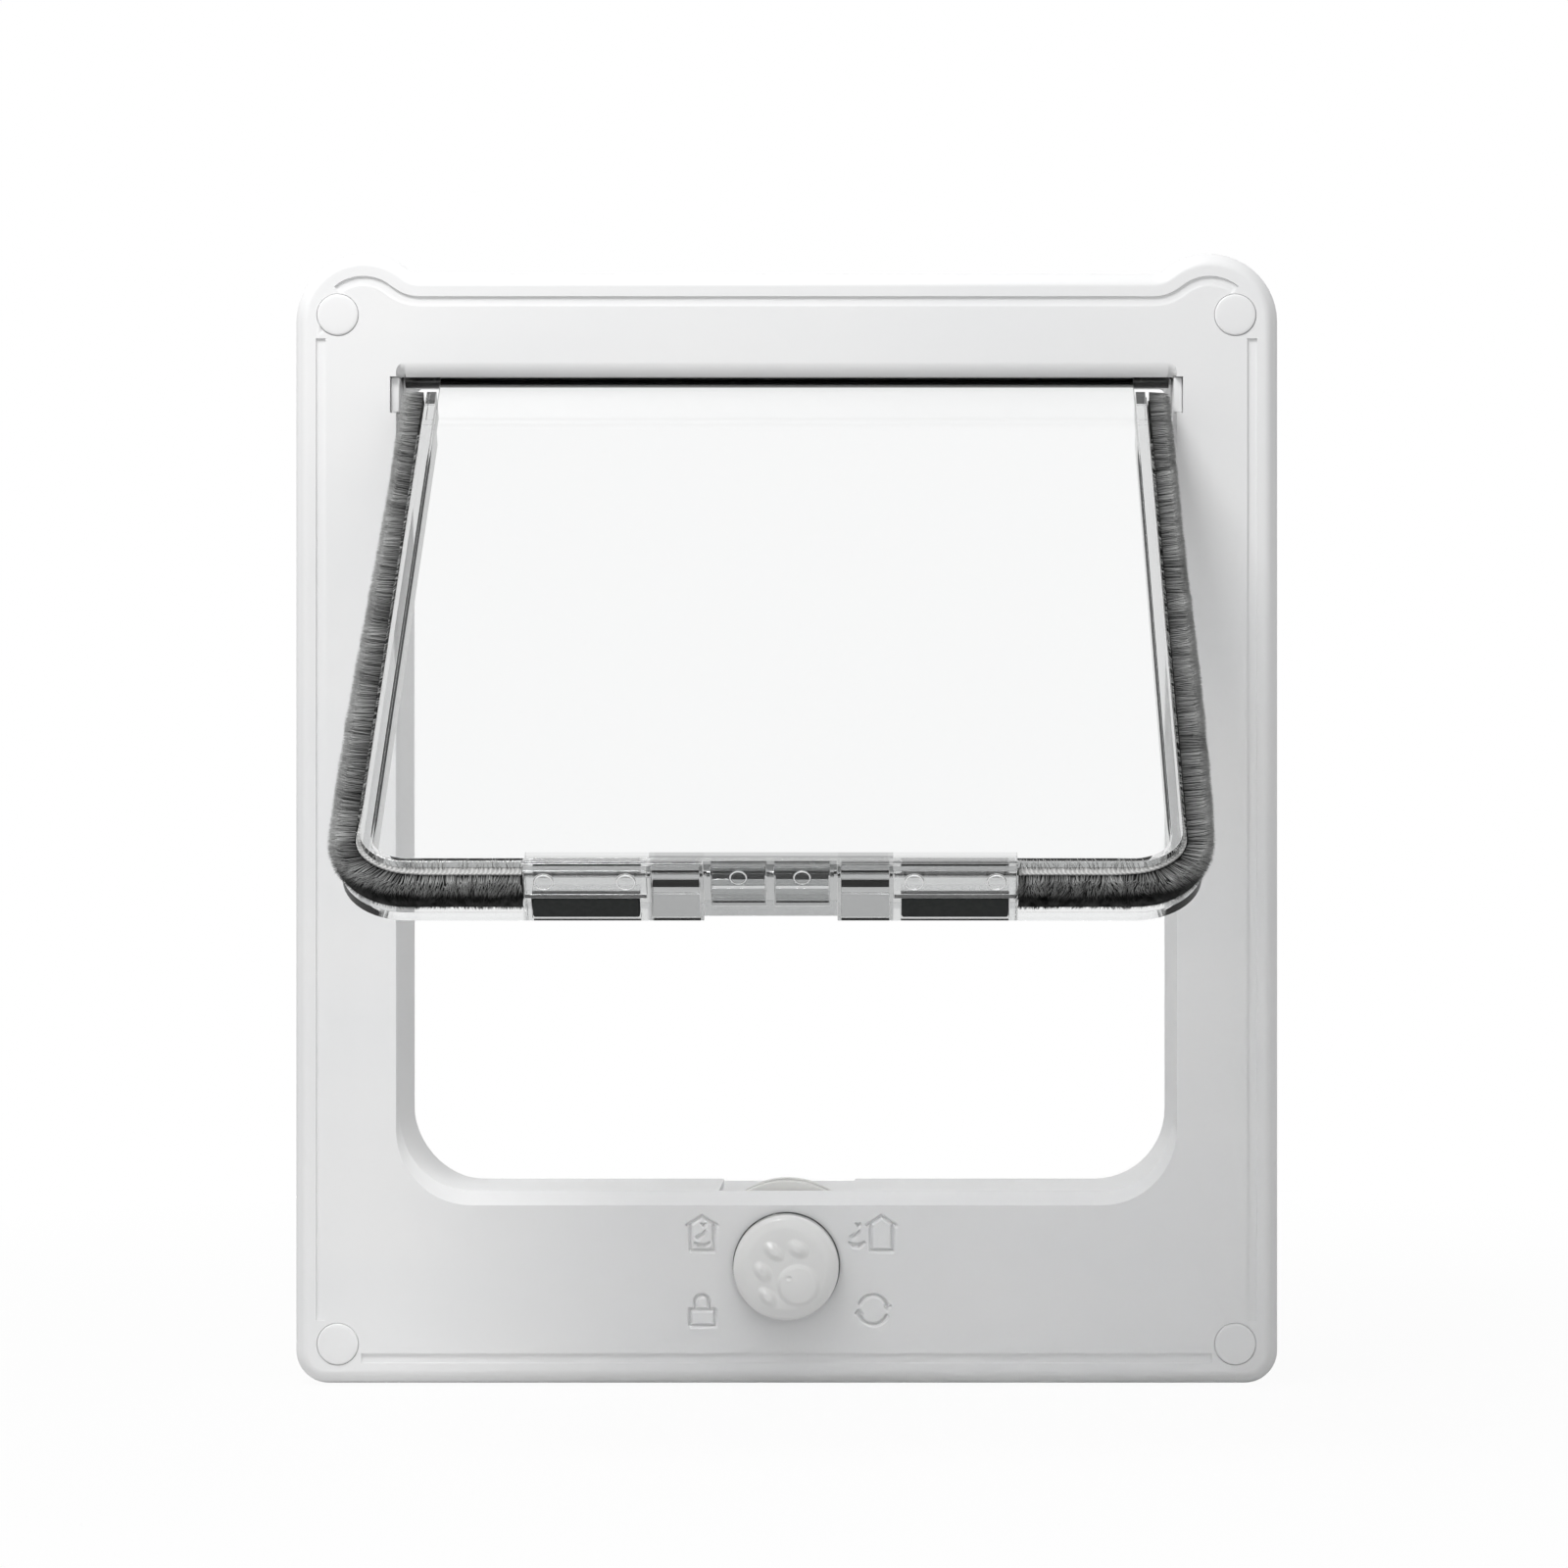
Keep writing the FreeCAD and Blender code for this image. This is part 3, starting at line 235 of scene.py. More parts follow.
def moulded_white(name, rough, low, high, grain_depth):
    """White moulding: spark-eroded grain in the surface, faint flow marks in its colour and gloss."""
    shader = Shader(name)
    shader.set(ior=1.5)
    where = shader.place()
    flow = shader.effect(MOTTLE, shader.place(scale=(1, 1, 2.5)), 14.0)
    shader.join(shader.tint(flow, low, high), shader.skin.inputs["Base Color"])
    shader.join(shader.ramp(flow, 0.0, 1.0, rough - 0.03, rough + 0.04), shader.skin.inputs["Roughness"])
    shader.bump(shader.effect(GRAIN, where, 2600.0), grain_depth, 0.5)
    return shader.material


def from_hinge(shader):
    """Object coordinates turned back to the hanging flap, measured from the hinge, as separate X, Y and Z."""
    where = shader.add("ShaderNodeTexCoord")
    lift = shader.add("ShaderNodeVectorMath", operation="SUBTRACT")
    lift.inputs[1].default_value = tuple(HINGE)
    shader.join(where.outputs["Object"], lift.inputs[0])
    hinge_turn = shader.add("ShaderNodeMapping")
    hinge_turn.inputs["Rotation"].default_value = (RAISE, 0, 0)
    shader.join(lift.outputs[0], hinge_turn.inputs["Vector"])
    split = shader.add("ShaderNodeSeparateXYZ")
    shader.join(hinge_turn.outputs[0], split.inputs[0])
    return split.outputs


SOFT_EDGE = 0.2 * MM


def below(shader, value, level):
    """1 where the value lies under a level in metres, 0 over it, with a soft edge."""
    return shader.ramp(value, level + SOFT_EDGE, level - SOFT_EDGE)


def above(shader, value, level):
    """1 where the value lies over a level in metres, 0 under it, with a soft edge."""
    return shader.ramp(value, level - SOFT_EDGE, level + SOFT_EDGE)


def within(shader, value, low, high):
    """1 where the value's size lies between two lengths in metres, 0 elsewhere, with a sharper edge."""
    size = shader.reckon("ABSOLUTE", value)
    start = shader.ramp(size, low - SOFT_EDGE / 4, low + SOFT_EDGE / 4)
    end = shader.ramp(size, high + SOFT_EDGE / 4, high - SOFT_EDGE / 4)
    return shader.reckon("MULTIPLY", start, end)


# places in the flap, from the hinge and from its middle
BARREL_FOOT = -6.8 * MM
BLOCK_TOP, BLOCK_HALF = -195.0 * MM, 54.4 * MM
HOLLOWS, HOLLOW_STEP = (14.8 * MM, 25.8 * MM), 1.1 * MM
COVERS = (27.0 * MM, 54.2 * MM)
FOOT_WALL, LIP_START = -199.9 * MM, 6.0 * MM
SIDE_WALLS = (88.6 * MM, 91.4 * MM)


def painted_shade_mask(shader, place):
    """Painted shade for the clear flap: a mask laid out roughly by how thick the moulding is along the eye's line,
    most over the shallow front half of the block's hollows, less in the rest of the block, in the foot wall and in
    the side walls, 0 in the sheet. Where it is high, the plastic is tinted grey to stand in for the dark
    surroundings seen through it."""
    x, y, z = place["X"], place["Y"], place["Z"]
    hollow = shader.reckon("MULTIPLY", within(shader, x, *HOLLOWS), below(shader, y, HOLLOW_STEP))
    body = shader.reckon("MULTIPLY_ADD", hollow, 0.08, 0.78)
    body = shader.reckon("MULTIPLY_ADD", within(shader, x, *COVERS), -0.48, body)
    across = shader.reckon("MULTIPLY", below(shader, x, BLOCK_HALF), above(shader, x, -BLOCK_HALF))
    block = shader.reckon("MULTIPLY", below(shader, z, BLOCK_TOP), across)
    block = shader.reckon("MULTIPLY", block, body)
    foot = shader.reckon("MULTIPLY", below(shader, z, FOOT_WALL), 0.7)
    foot = shader.reckon("MULTIPLY", foot, below(shader, y, LIP_START))
    wall = shader.reckon("MULTIPLY", within(shader, x, *SIDE_WALLS), 0.35)
    return shader.reckon("MAXIMUM", shader.reckon("MAXIMUM", block, foot), wall)


def clear_plastic(name, thin, thick=None, barrel=None):
    """Clear moulded plastic: a thin sheet is near colourless; a thick block is tinted greyer and the barrel as
    dark as the rod it magnifies, painted shade for what is seen through them; with faint haze and moulding waves.
    Small fittings have one tint."""
    shader = Shader(name)
    shader.set(color=thin, transmission=1.0, ior=1.49)
    where = shader.place()
    if thick:
        place = from_hinge(shader)
        # painted shade: the thick colour is mixed in over the mask, greying the block, the foot wall and the side
        # walls
        sheet = shader.tint(painted_shade_mask(shader, place), thin, thick)
        # painted shade: above the barrel's foot the colour turns near black, standing in for the dark rod seen
        # magnified through it
        both = shader.add("ShaderNodeMix", data_type="RGBA")
        both.inputs["B"].default_value = (*barrel, 1.0)
        shader.join(sheet, both.inputs["A"])
        shader.join(above(shader, place["Z"], BARREL_FOOT), both.inputs["Factor"])
        shader.join(both.outputs["Result"], shader.skin.inputs["Base Color"])
    haze = shader.effect(MOTTLE, where, 22.0)
    shader.join(shader.ramp(haze, 0.0, 1.0, 0.01, 0.045), shader.skin.inputs["Roughness"])
    shader.bump(shader.effect(GRAIN, where, 60.0), 0.00002, 0.015)
    return shader.material


def painted_edge_highlight():
    """Painted highlight for the rounded edges of a clear moulding, which scatter light and look white: a near
    white, almost fully metal mirror.
    """
    shader = Shader("painted_edge_highlight")
    shader.set(color=(0.98, 0.985, 0.985), metal=0.96, transmission=0.2, ior=1.49)
    film = shader.effect(MOTTLE, shader.place(), 260.0)
    shader.join(shader.ramp(film, 0.0, 1.0, 0.12, 0.3), shader.skin.inputs["Roughness"])
    return shader.material


def dark_ferrite():
    """Sintered magnet: near black with a fine crystalline speckle."""
    shader = Shader("dark_ferrite")
    shader.set(rough=0.5, specular=0.3)
    where = shader.place()
    speckle = shader.noise(where, 900.0, 2.0)
    shader.join(shader.tint(speckle, (0.004, 0.006, 0.006), (0.02, 0.023, 0.022)),
                shader.skin.inputs["Base Color"])
    shader.bump(shader.effect(GRAIN, where, 1500.0), 0.00003, 0.6)
    return shader.material


def bright_steel(name, color):
    """Plated steel with fine turning marks and a patchy film of handling."""
    shader = Shader(name)
    shader.set(metal=1.0, color=color)
    where = shader.place()
    marks = shader.noise(shader.place(scale=(40, 1, 1)), 300.0, 2.0)
    film = shader.effect(MOTTLE, where, 120.0)
    shader.join(shader.ramp(film, 0.0, 1.0, 0.2, 0.38), shader.skin.inputs["Roughness"])
    shader.bump(marks, 0.000005, 0.5)
    return shader.material


def brush_pile():
    """Grey pile fibres: each fibre's grey level comes with the mesh, darker at its root as painted shade, with a
    soft sheen.
    """
    shader = Shader("brush_pile")
    shader.set(rough=0.7, sheen=0.02, specular=0.04)
    tone_and_shading = shader.add("ShaderNodeAttribute", attribute_name="tone_and_shading")
    shader.join(shader.tint(tone_and_shading.outputs["Fac"], (0.002, 0.0022, 0.0022), (0.60, 0.605, 0.60)),
                shader.skin.inputs["Base Color"])
    return shader.material


def pile_shade_core():
    """Painted shade: the dark inside of the pile, between the fibres."""
    shader = Shader("pile_shade_core")
    shader.set(rough=0.9, specular=0.1)
    clumps = shader.effect(MOTTLE, shader.place(), 500.0)
    shader.join(shader.tint(clumps, (0.003, 0.003, 0.003), (0.05, 0.051, 0.05)),
                shader.skin.inputs["Base Color"])
    shader.bump(clumps, 0.0003, 1.0)
    return shader.material


def woven_tape():
    """White tape woven over and under in fine threads, which the pile is tufted into."""
    shader = Shader("woven_tape")
    shader.set(rough=0.6, sheen=0.2)
    along = shader.add("ShaderNodeAttribute", attribute_name="weave")
    threads = shader.ramp(shader.reckon("SINE", along.outputs["Fac"]), -1.0, 1.0)
    shader.join(shader.tint(threads, (0.42, 0.42, 0.415), (0.66, 0.66, 0.65)),
                shader.skin.inputs["Base Color"])
    shader.bump(threads, 0.00015, 1.0)
    return shader.material


WHITE = moulded_white("moulded_white", 0.45, (0.85, 0.855, 0.86), (0.875, 0.875, 0.875), 0.00002)
GLOSS_WHITE = moulded_white("gloss_white", 0.22, (0.85, 0.85, 0.845), (0.87, 0.87, 0.86), 0.000004)
CREAM_WHITE = moulded_white("cream_white", 0.4, (0.80, 0.795, 0.775), (0.84, 0.835, 0.815), 0.00001)
# the flap's clear plastic: its second and third colours, the grey block and the near black barrel, are painted
# shade
CLEAR = clear_plastic("clear_plastic", (0.93, 0.935, 0.935), (0.25, 0.257, 0.257), (0.03, 0.03, 0.03))
# painted shade: the latches' clear plastic is tinted mid grey for the dark surroundings seen through it
CLEAR_SMALL = clear_plastic("clear_fitting", (0.64, 0.65, 0.65))
CLEAR_COVER = clear_plastic("clear_cover", (0.95, 0.955, 0.955))
# painted shade: the washer under the knob is tinted dark grey for the dark outline round the knob's foot
WASHER_SHADE = clear_plastic("washer_painted_shade", (0.25, 0.255, 0.255))
# painted shade: near black for the inner faces of the flap's side walls, standing in for the dark line seen along
# them
INNER_WALL_SHADE = clear_plastic("inner_wall_painted_shade", (0.12, 0.122, 0.122))
# painted highlight: the near white mirror on the clear pieces' rounded edges and stud beads
EDGE = painted_edge_highlight()
# painted shade: near black strips along the corners of the flap's side walls
RIM_SHADE = clear_plastic("painted_rim_shade", (0.02, 0.021, 0.021))
FERRITE = dark_ferrite()
STEEL = bright_steel("bright_steel", (0.55, 0.55, 0.56))
DARK_STEEL = bright_steel("dark_steel", (0.05, 0.05, 0.052))
PILE = brush_pile()
PILE_SHADE_CORE = pile_shade_core()
TAPE = woven_tape()

FINISHES = {
    "front_frame": WHITE, "rear_frame": WHITE, "screw_cap_top_left": WHITE, "screw_cap_top_right": WHITE,
    "screw_cap_bottom_left": WHITE, "screw_cap_bottom_right": WHITE, "frame_screws": STEEL,
    "hinge_clip_left": WHITE, "hinge_clip_right": WHITE, "sill_magnet_left": FERRITE,
    "sill_magnet_right": FERRITE, "flap_panel": CLEAR, "hinge_rod": DARK_STEEL, "pile_strip_left": PILE,
    "pile_strip_right": PILE, "flap_magnet_left": FERRITE, "flap_magnet_right": FERRITE,
    "magnet_cover_left": CLEAR_COVER, "magnet_cover_right": CLEAR_COVER, "latch_left": CLEAR_SMALL,
    "latch_right": CLEAR_SMALL, "lock_drum": CREAM_WHITE, "lock_knob": GLOSS_WHITE, "knob_ring": WASHER_SHADE,
    "knob_screw": STEEL,
}
BODY_OF = {node: body for body, nodes in frame["record"]["behaviour"]["bodies"].items() for node in nodes}
for node_name, finish in FINISHES.items():
    data = NODES[node_name].data
    data.materials.clear()
    data.materials.append(finish)


def stand_for(piece, node):
    """Makes a finished piece ride on the node's body and replace the node, which is hidden."""
    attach(piece, BODY_OF[node])
    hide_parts(node)


def merged_copy(node):
    """The node's loose triangles merged into flat faces, as a bmesh."""
    mesh = bmesh.new()
    mesh.from_mesh(NODES[node].data)
    bmesh.ops.remove_doubles(mesh, verts=mesh.verts, dist=2e-6)
    bmesh.ops.dissolve_limit(mesh, angle_limit=math.radians(0.4), verts=mesh.verts, edges=mesh.edges)
    return mesh


def finished(name, mesh, materials, sharp=38.0):
    """Turns a bmesh into an object, smooth except across edges sharper than the given angle."""
    data = bpy.data.meshes.new(name)
    mesh.to_mesh(data)
    mesh.free()
    for material in materials:
        data.materials.append(material)
    data.polygons.foreach_set("use_smooth", [True] * len(data.polygons))
    data.set_sharp_from_angle(angle=math.radians(sharp))
    piece = bpy.data.objects.new(name, data)
    bpy.context.scene.collection.objects.link(piece)
    return piece


def softened(name, node, width, materials, steps=2, limit=40.0, inner=None):
    """A copy of a node whose edges are rounded; the rounding takes the last material. Faces that look
    sideways at the inner distance from the middle take the second material, which on the flap is painted shade."""
    mesh = merged_copy(node)
    if inner:
        for face in mesh.faces:
            middle = face.calc_center_median()
            if abs(face.normal.x) > 0.9 and abs(abs(middle.x) - inner) < 0.0003:
                face.material_index = 1
    piece = finished(name, mesh, materials, sharp=180.0)
    rounding = piece.modifiers.new("edge rounding", "BEVEL")
    rounding.width = width
    rounding.segments = steps
    rounding.limit_method = "ANGLE"
    rounding.angle_limit = math.radians(limit)
    rounding.use_clamp_overlap = True
    rounding.material = len(materials) - 1
    keep_faces_flat(piece)
    bake(piece)
    stand_for(piece, node)
    return piece


def keep_faces_flat(piece):
    """Weights each corner's normal by the area of its faces, so a wide face beside a rounding stays flat."""
    weighting = piece.modifiers.new("flat faces", "WEIGHTED_NORMAL")
    weighting.mode = "FACE_AREA"
    weighting.weight = 100
    weighting.keep_sharp = True


def bake(piece):
    """Applies the piece's modifiers to its mesh."""
    shown = piece.evaluated_get(bpy.context.evaluated_depsgraph_get())
    data = bpy.data.meshes.new_from_object(shown)
    old = piece.data
    piece.modifiers.clear()
    piece.data = data
    bpy.data.meshes.remove(old)


def soft_noise(u, v, seed):
    """Smooth noise from -1 to 1 at arrays of places, in lattice cells: random corner values blended by a
    smooth step."""
    rng = np.random.default_rng(seed)
    table = rng.uniform(-1, 1, (64, 64))
    iu, iv = np.floor(u).astype(int), np.floor(v).astype(int)
    fu, fv = u - iu, v - iv
    fu, fv = fu * fu * (3 - 2 * fu), fv * fv * (3 - 2 * fv)
    a, b = table[iu % 64, iv % 64], table[(iu + 1) % 64, iv % 64]
    c, d = table[iu % 64, (iv + 1) % 64], table[(iu + 1) % 64, (iv + 1) % 64]
    return (a * (1 - fu) + b * fu) * (1 - fv) + (c * (1 - fu) + d * fu) * fv


def smooth_step(value, low, high):
    t = np.clip((value - low) / (high - low), 0, 1)
    return t * t * (3 - 2 * t)


# ---- frame with its engraved signs ----

SIGN_DEEP = 1.15
SIGN_HALF = 0.31
SIGN_PITCH = 0.11


def away_from_line(x, z, points, closed=False):
    """Distance from arrays of places to a line through the points."""
    points = np.asarray(points, float)
    ends = np.roll(points, -1, axis=0) if closed else points[1:]
    starts = points if closed else points[:-1]
    best = np.full(x.shape, 1e9)
    for (x0, z0), (x1, z1) in zip(starts, ends):
        dx, dz = x1 - x0, z1 - z0
        t = np.clip(((x - x0) * dx + (z - z0) * dz) / (dx * dx + dz * dz), 0, 1)
        best = np.minimum(best, np.hypot(x - x0 - t * dx, z - z0 - t * dz))
    return best


def away_from_blob(x, z, rows):
    """Distance outside a chain of discs, each (x, z, radius), joined by their tangents: a rounded figure."""
    rows = np.asarray(rows, float)
    best = np.full(x.shape, 1e9)
    for (x0, z0, r0), (x1, z1, r1) in zip(rows[:-1], rows[1:]):
        dx, dz = x1 - x0, z1 - z0
        t = np.clip(((x - x0) * dx + (z - z0) * dz) / (dx * dx + dz * dz + 1e-12), 0, 1)
        best = np.minimum(best, np.hypot(x - x0 - t * dx, z - z0 - t * dz) - (r0 + t * (r1 - r0)))
    return best


def sitting_cat(x, z, middle):
    """A sitting cat seen from behind: a small pricked head, a back that slopes to the left and a heavy tail
    curled round the foot."""
    head = [(middle - 0.55, -112.1, 0.12), (middle, -112.6, 0.32), (middle + 0.55, -112.1, 0.12)]
    back = [(middle + 0.45, -113.9, 0.14), (middle - 0.4, -114.9, 0.38), (middle - 1.6, -115.6, 0.42)]
    tail = [(middle - 2.2, -117.0, 0.14), (middle - 1.3, -117.6, 0.42), (middle + 0.2, -117.7, 0.44),
            (middle + 1.6, -116.9, 0.14)]
    head, back, tail = (away_from_blob(x, z, rows) for rows in (head, back, tail))
    return np.minimum(np.minimum(head, back), tail)


def house_line(x, z, middle, half, eaves_half, foot, eaves, ridge):
    """A house in outline: two walls and a floor under a roof line that overhangs."""
    walls = away_from_line(x, z, [(middle - half, eaves - 0.25), (middle - half, foot), (middle + half, foot),
                                  (middle + half, eaves - 0.25)])
    roof = away_from_line(x, z, [(middle - eaves_half, eaves - 0.1), (middle, ridge),
                                 (middle + eaves_half, eaves - 0.1)])
    return np.minimum(walls, roof)


def arc_points(x, z, radius, start, end, count=24):
    turn = np.radians(np.linspace(start, end, count))
    return np.stack([x + radius * np.cos(turn), z + radius * np.sin(turn)], 1)


def cat_indoors(x, z):
    house = house_line(x, z, -21.6, 3.0, 3.75, -118.9, -112.4, -110.2)
    return np.minimum(house - SIGN_HALF, sitting_cat(x, z, -21.2))


def cat_outdoors(x, z):
    house = house_line(x, z, 24.2, 2.8, 3.65, -118.9, -112.4, -110.2)
    return np.minimum(house - SIGN_HALF, sitting_cat(x, z, 18.2))


def padlock(x, z):
    corners = [(-24.7, -134.0), (-18.3, -134.0), (-18.3, -138.1), (-24.7, -138.1)]
    bow_line = np.vstack([[(-23.4, -134.0)], arc_points(-21.6, -132.1, 1.8, 180, 0), [(-19.8, -134.0)]])
    body = away_from_line(x, z, corners, closed=True)
    bow = away_from_line(x, z, bow_line)
    return np.minimum(body, bow) - SIGN_HALF


def two_arrows(x, z):
    """Two arcs of a circle that chase each other, each with a small barb at its end."""
    middle, radius = np.array([22.1, -134.05]), 3.75
    best = np.full(x.shape, 1e9)
    for start, end in ((5.0, 157.0), (186.0, 335.0)):
        best = np.minimum(best, away_from_line(x, z, arc_points(*middle, radius, start, end)))
        turn = math.radians(start)
        outward = np.array([math.cos(turn), math.sin(turn)])
        onward = np.array([-math.sin(turn), math.cos(turn)])
        tip = middle + radius * outward
        barb = [tip + 0.55 * outward + 0.5 * onward, tip - 0.1 * onward, tip - 0.55 * outward + 0.5 * onward]
        best = np.minimum(best, away_from_line(x, z, barb))
    return best - SIGN_HALF


SIGNS = {
    "sign_cat_indoors": ((-26.4, -16.8, -120.2, -109.0), cat_indoors),
    "sign_cat_outdoors": ((15.4, 28.6, -120.2, -109.0), cat_outdoors),
    "sign_padlock": ((-25.8, -17.2, -139.2, -129.2), padlock),
    "sign_two_arrows": ((17.0, 26.9, -139.0, -129.0), two_arrows),
}


def add_sign(name, box, figure):
    """An engraved sign: a flat grid at the frame's face whose depth is a smooth step of the distance to the
    figure, deepest on the figure's lines and zero at the patch's rim, with a shallow bevel along the lower
    right bank of each line."""
    x0, x1, z0, z1 = box
    columns, rows = int((x1 - x0) / SIGN_PITCH) + 1, int((z1 - z0) / SIGN_PITCH) + 1
    x, z = np.meshgrid(np.linspace(x0, x1, columns), np.linspace(z0, z1, rows))
    deep = SIGN_DEEP * (1 - smooth_step(figure(x, z), -0.28, 0.26))
    bevel = 0.28 * (1 - smooth_step(figure(x - 0.18, z + 0.32), -0.15, 0.4))
    deep = np.maximum(deep, bevel)
    points = np.stack([x * MM, FACE_Y + deep * MM, z * MM], -1).reshape(-1, 3)
    piece = new_object(name, points, grid_faces(rows, columns), WHITE)
    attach(piece, "frame")


def outer_rim_edges(mesh, face_y, towards):
    """Edges of the sloped rim round a frame's outline, on the face and on the side."""
    chosen = []
    for edge in mesh.edges:
        if len(edge.link_faces) != 2:
            continue
        first, second = edge.link_faces
        slopes = [f for f in (first, second) if 0.5 < f.normal.y * towards < 0.9]
        if len(slopes) != 1:
            continue
        slope = slopes[0]
        middle = slope.calc_center_median()
        if slope.normal.x * middle.x + slope.normal.z * (middle.z + 0.011) > 0 and \
                max(abs(v.co.y - face_y) for v in edge.verts) < 0.003:
            chosen.append(edge)
    return chosen


def add_frame(name, node, towards, pits=()):
    """A frame with its outer rim rounded, and shallow pits cut where the sign patches lie."""
    mesh = merged_copy(node)
    face_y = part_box(node)[0].y if towards < 0 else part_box(node)[1].y
    rim = outer_rim_edges(mesh, face_y, towards)
    bmesh.ops.bevel(mesh, geom=rim, offset=1.0 * MM, segments=3, profile=0.5, affect="EDGES",
                    clamp_overlap=True)
    piece = finished(name, mesh, [WHITE], sharp=30.0)
    if pits:
        cutter = bmesh.new()
        for x0, x1, z0, z1 in pits:
            corners = [cutter.verts.new((x * MM, y, z * MM)) for y in (face_y - 0.001, face_y + 0.00122)
                       for z in (z0, z1) for x in (x0, x1)]
            for loop in ((0, 1, 3, 2), (4, 6, 7, 5), (0, 4, 5, 1), (2, 3, 7, 6), (0, 2, 6, 4), (1, 5, 7, 3)):
                cutter.faces.new([corners[i] for i in loop])
        bmesh.ops.recalc_face_normals(cutter, faces=cutter.faces)
        tool = finished("pit_cutter", cutter, [WHITE])
        cut = piece.modifiers.new("pits", "BOOLEAN")
        cut.operation = "DIFFERENCE"
        cut.solver = "EXACT"
        cut.object = tool
        bake(piece)
        bpy.data.objects.remove(tool)
        piece.data.set_sharp_from_angle(angle=math.radians(30))
    keep_faces_flat(piece)
    bake(piece)
    stand_for(piece, node)
    return piece


# ---- turned pieces ----

def turned(name, profile, place, material, count=64, extra=None):
    """A turned piece about the Y axis through place. The profile is rows of (radius, y) in mm from the tip of
    the axis round to the back; extra(radius, angle) adds to y."""
    profile = np.asarray(profile, float)
    angle = np.linspace(0, 2 * np.pi, count, endpoint=False)
    radius = np.repeat(profile[:, 0][:, None], count, 1)
    y = np.repeat(profile[:, 1][:, None], count, 1)
    if extra is not None:
        y = y + extra(radius, np.repeat(angle[None, :], len(profile), 0))
    points = np.stack([place[0] + radius * MM * np.cos(angle), place[1] + y * MM,
                       place[2] + radius * MM * np.sin(angle)], -1).reshape(-1, 3)
    piece = new_object(name, points, grid_faces(len(profile), count, wrap_columns=True), material)
    close_poles(piece)
    return piece


def close_poles(piece):
    """Merges the points that meet on an axis and turns every face outwards."""
    mesh = bmesh.new()
    mesh.from_mesh(piece.data)
    bmesh.ops.remove_doubles(mesh, verts=mesh.verts, dist=1e-7)
    bmesh.ops.recalc_face_normals(mesh, faces=mesh.faces)
    mesh.to_mesh(piece.data)
    mesh.free()
    piece.data.set_sharp_from_angle(angle=math.radians(50))


def rounded_rim(radius, top, bottom, corner, count=8):
    """Rows of a disc's edge from its flat front round a quarter arc to its side."""
    turn = np.linspace(0, np.pi / 2, count)
    arc = [(radius - corner + corner * math.sin(t), top + corner * (1 - math.cos(t))) for t in turn]
    return arc + [(radius, bottom)]


def add_screw_caps():
    """A cap is a low crowned plug with a rounded rim."""
    for corner in ("top_left", "top_right", "bottom_left", "bottom_right"):
        node = f"screw_cap_{corner}"
        low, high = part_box(node)
        centre = ((low.x + high.x) / 2, low.y, (low.z + high.z) / 2)
        radius = (high.x - low.x) / 2 / MM - 0.01
        deep = (high.y - low.y) / MM
        profile = [(r, 0.10 * (r / radius) ** 2) for r in np.linspace(0, radius - 0.6, 8)]
        profile += [(r, y + 0.10) for r, y in rounded_rim(radius, 0.0, deep - 0.3, 0.5)]
        profile += [(radius - 0.2, deep), (0.0, deep)]
        stand_for(turned(f"cap_{corner}", profile, centre, WHITE), node)


def cross_recess(radius, angle, half, reach, deep):
    """Depth of a cross recess: two crossed slots whose floor falls towards the middle."""
    x, z = radius * np.cos(angle), radius * np.sin(angle)
    upright = np.maximum(np.abs(x) - half, np.abs(z) - reach)
    level = np.maximum(np.abs(z) - half, np.abs(x) - reach)
    slot = np.minimum(upright, level)
    return deep * (1 - smooth_step(slot, -0.12, 0.12)) * np.clip(1.15 - radius / (reach * 1.6), 0, 1)


def threaded_shank(centre, y0, y1, radius, pitch, deep, count=20):
    """A screw's shank: a tube whose radius falls between the threads as a triangle wave of place along the
    shank less one pitch a turn, with its last few millimetres drawn to a point."""
    rows = int((y1 - y0) / (pitch / 6)) + 2
    y = np.linspace(y0, y1, rows)[:, None]
    angle = np.linspace(0, 2 * np.pi, count, endpoint=False)[None, :]
    phase = (y / pitch - angle / (2 * np.pi)) % 1.0
    thread = deep * (1 - np.abs(2 * phase - 1))
    point = np.clip((y1 - y) / 3.0, 0.02, 1.0)
    r = (radius - deep + thread) * point
    points = np.stack([centre[0] + r * MM * np.cos(angle), np.broadcast_to(y * MM, r.shape),
                       centre[1] + r * MM * np.sin(angle)], -1).reshape(-1, 3)
    return points, grid_faces(rows, count, wrap_columns=True)


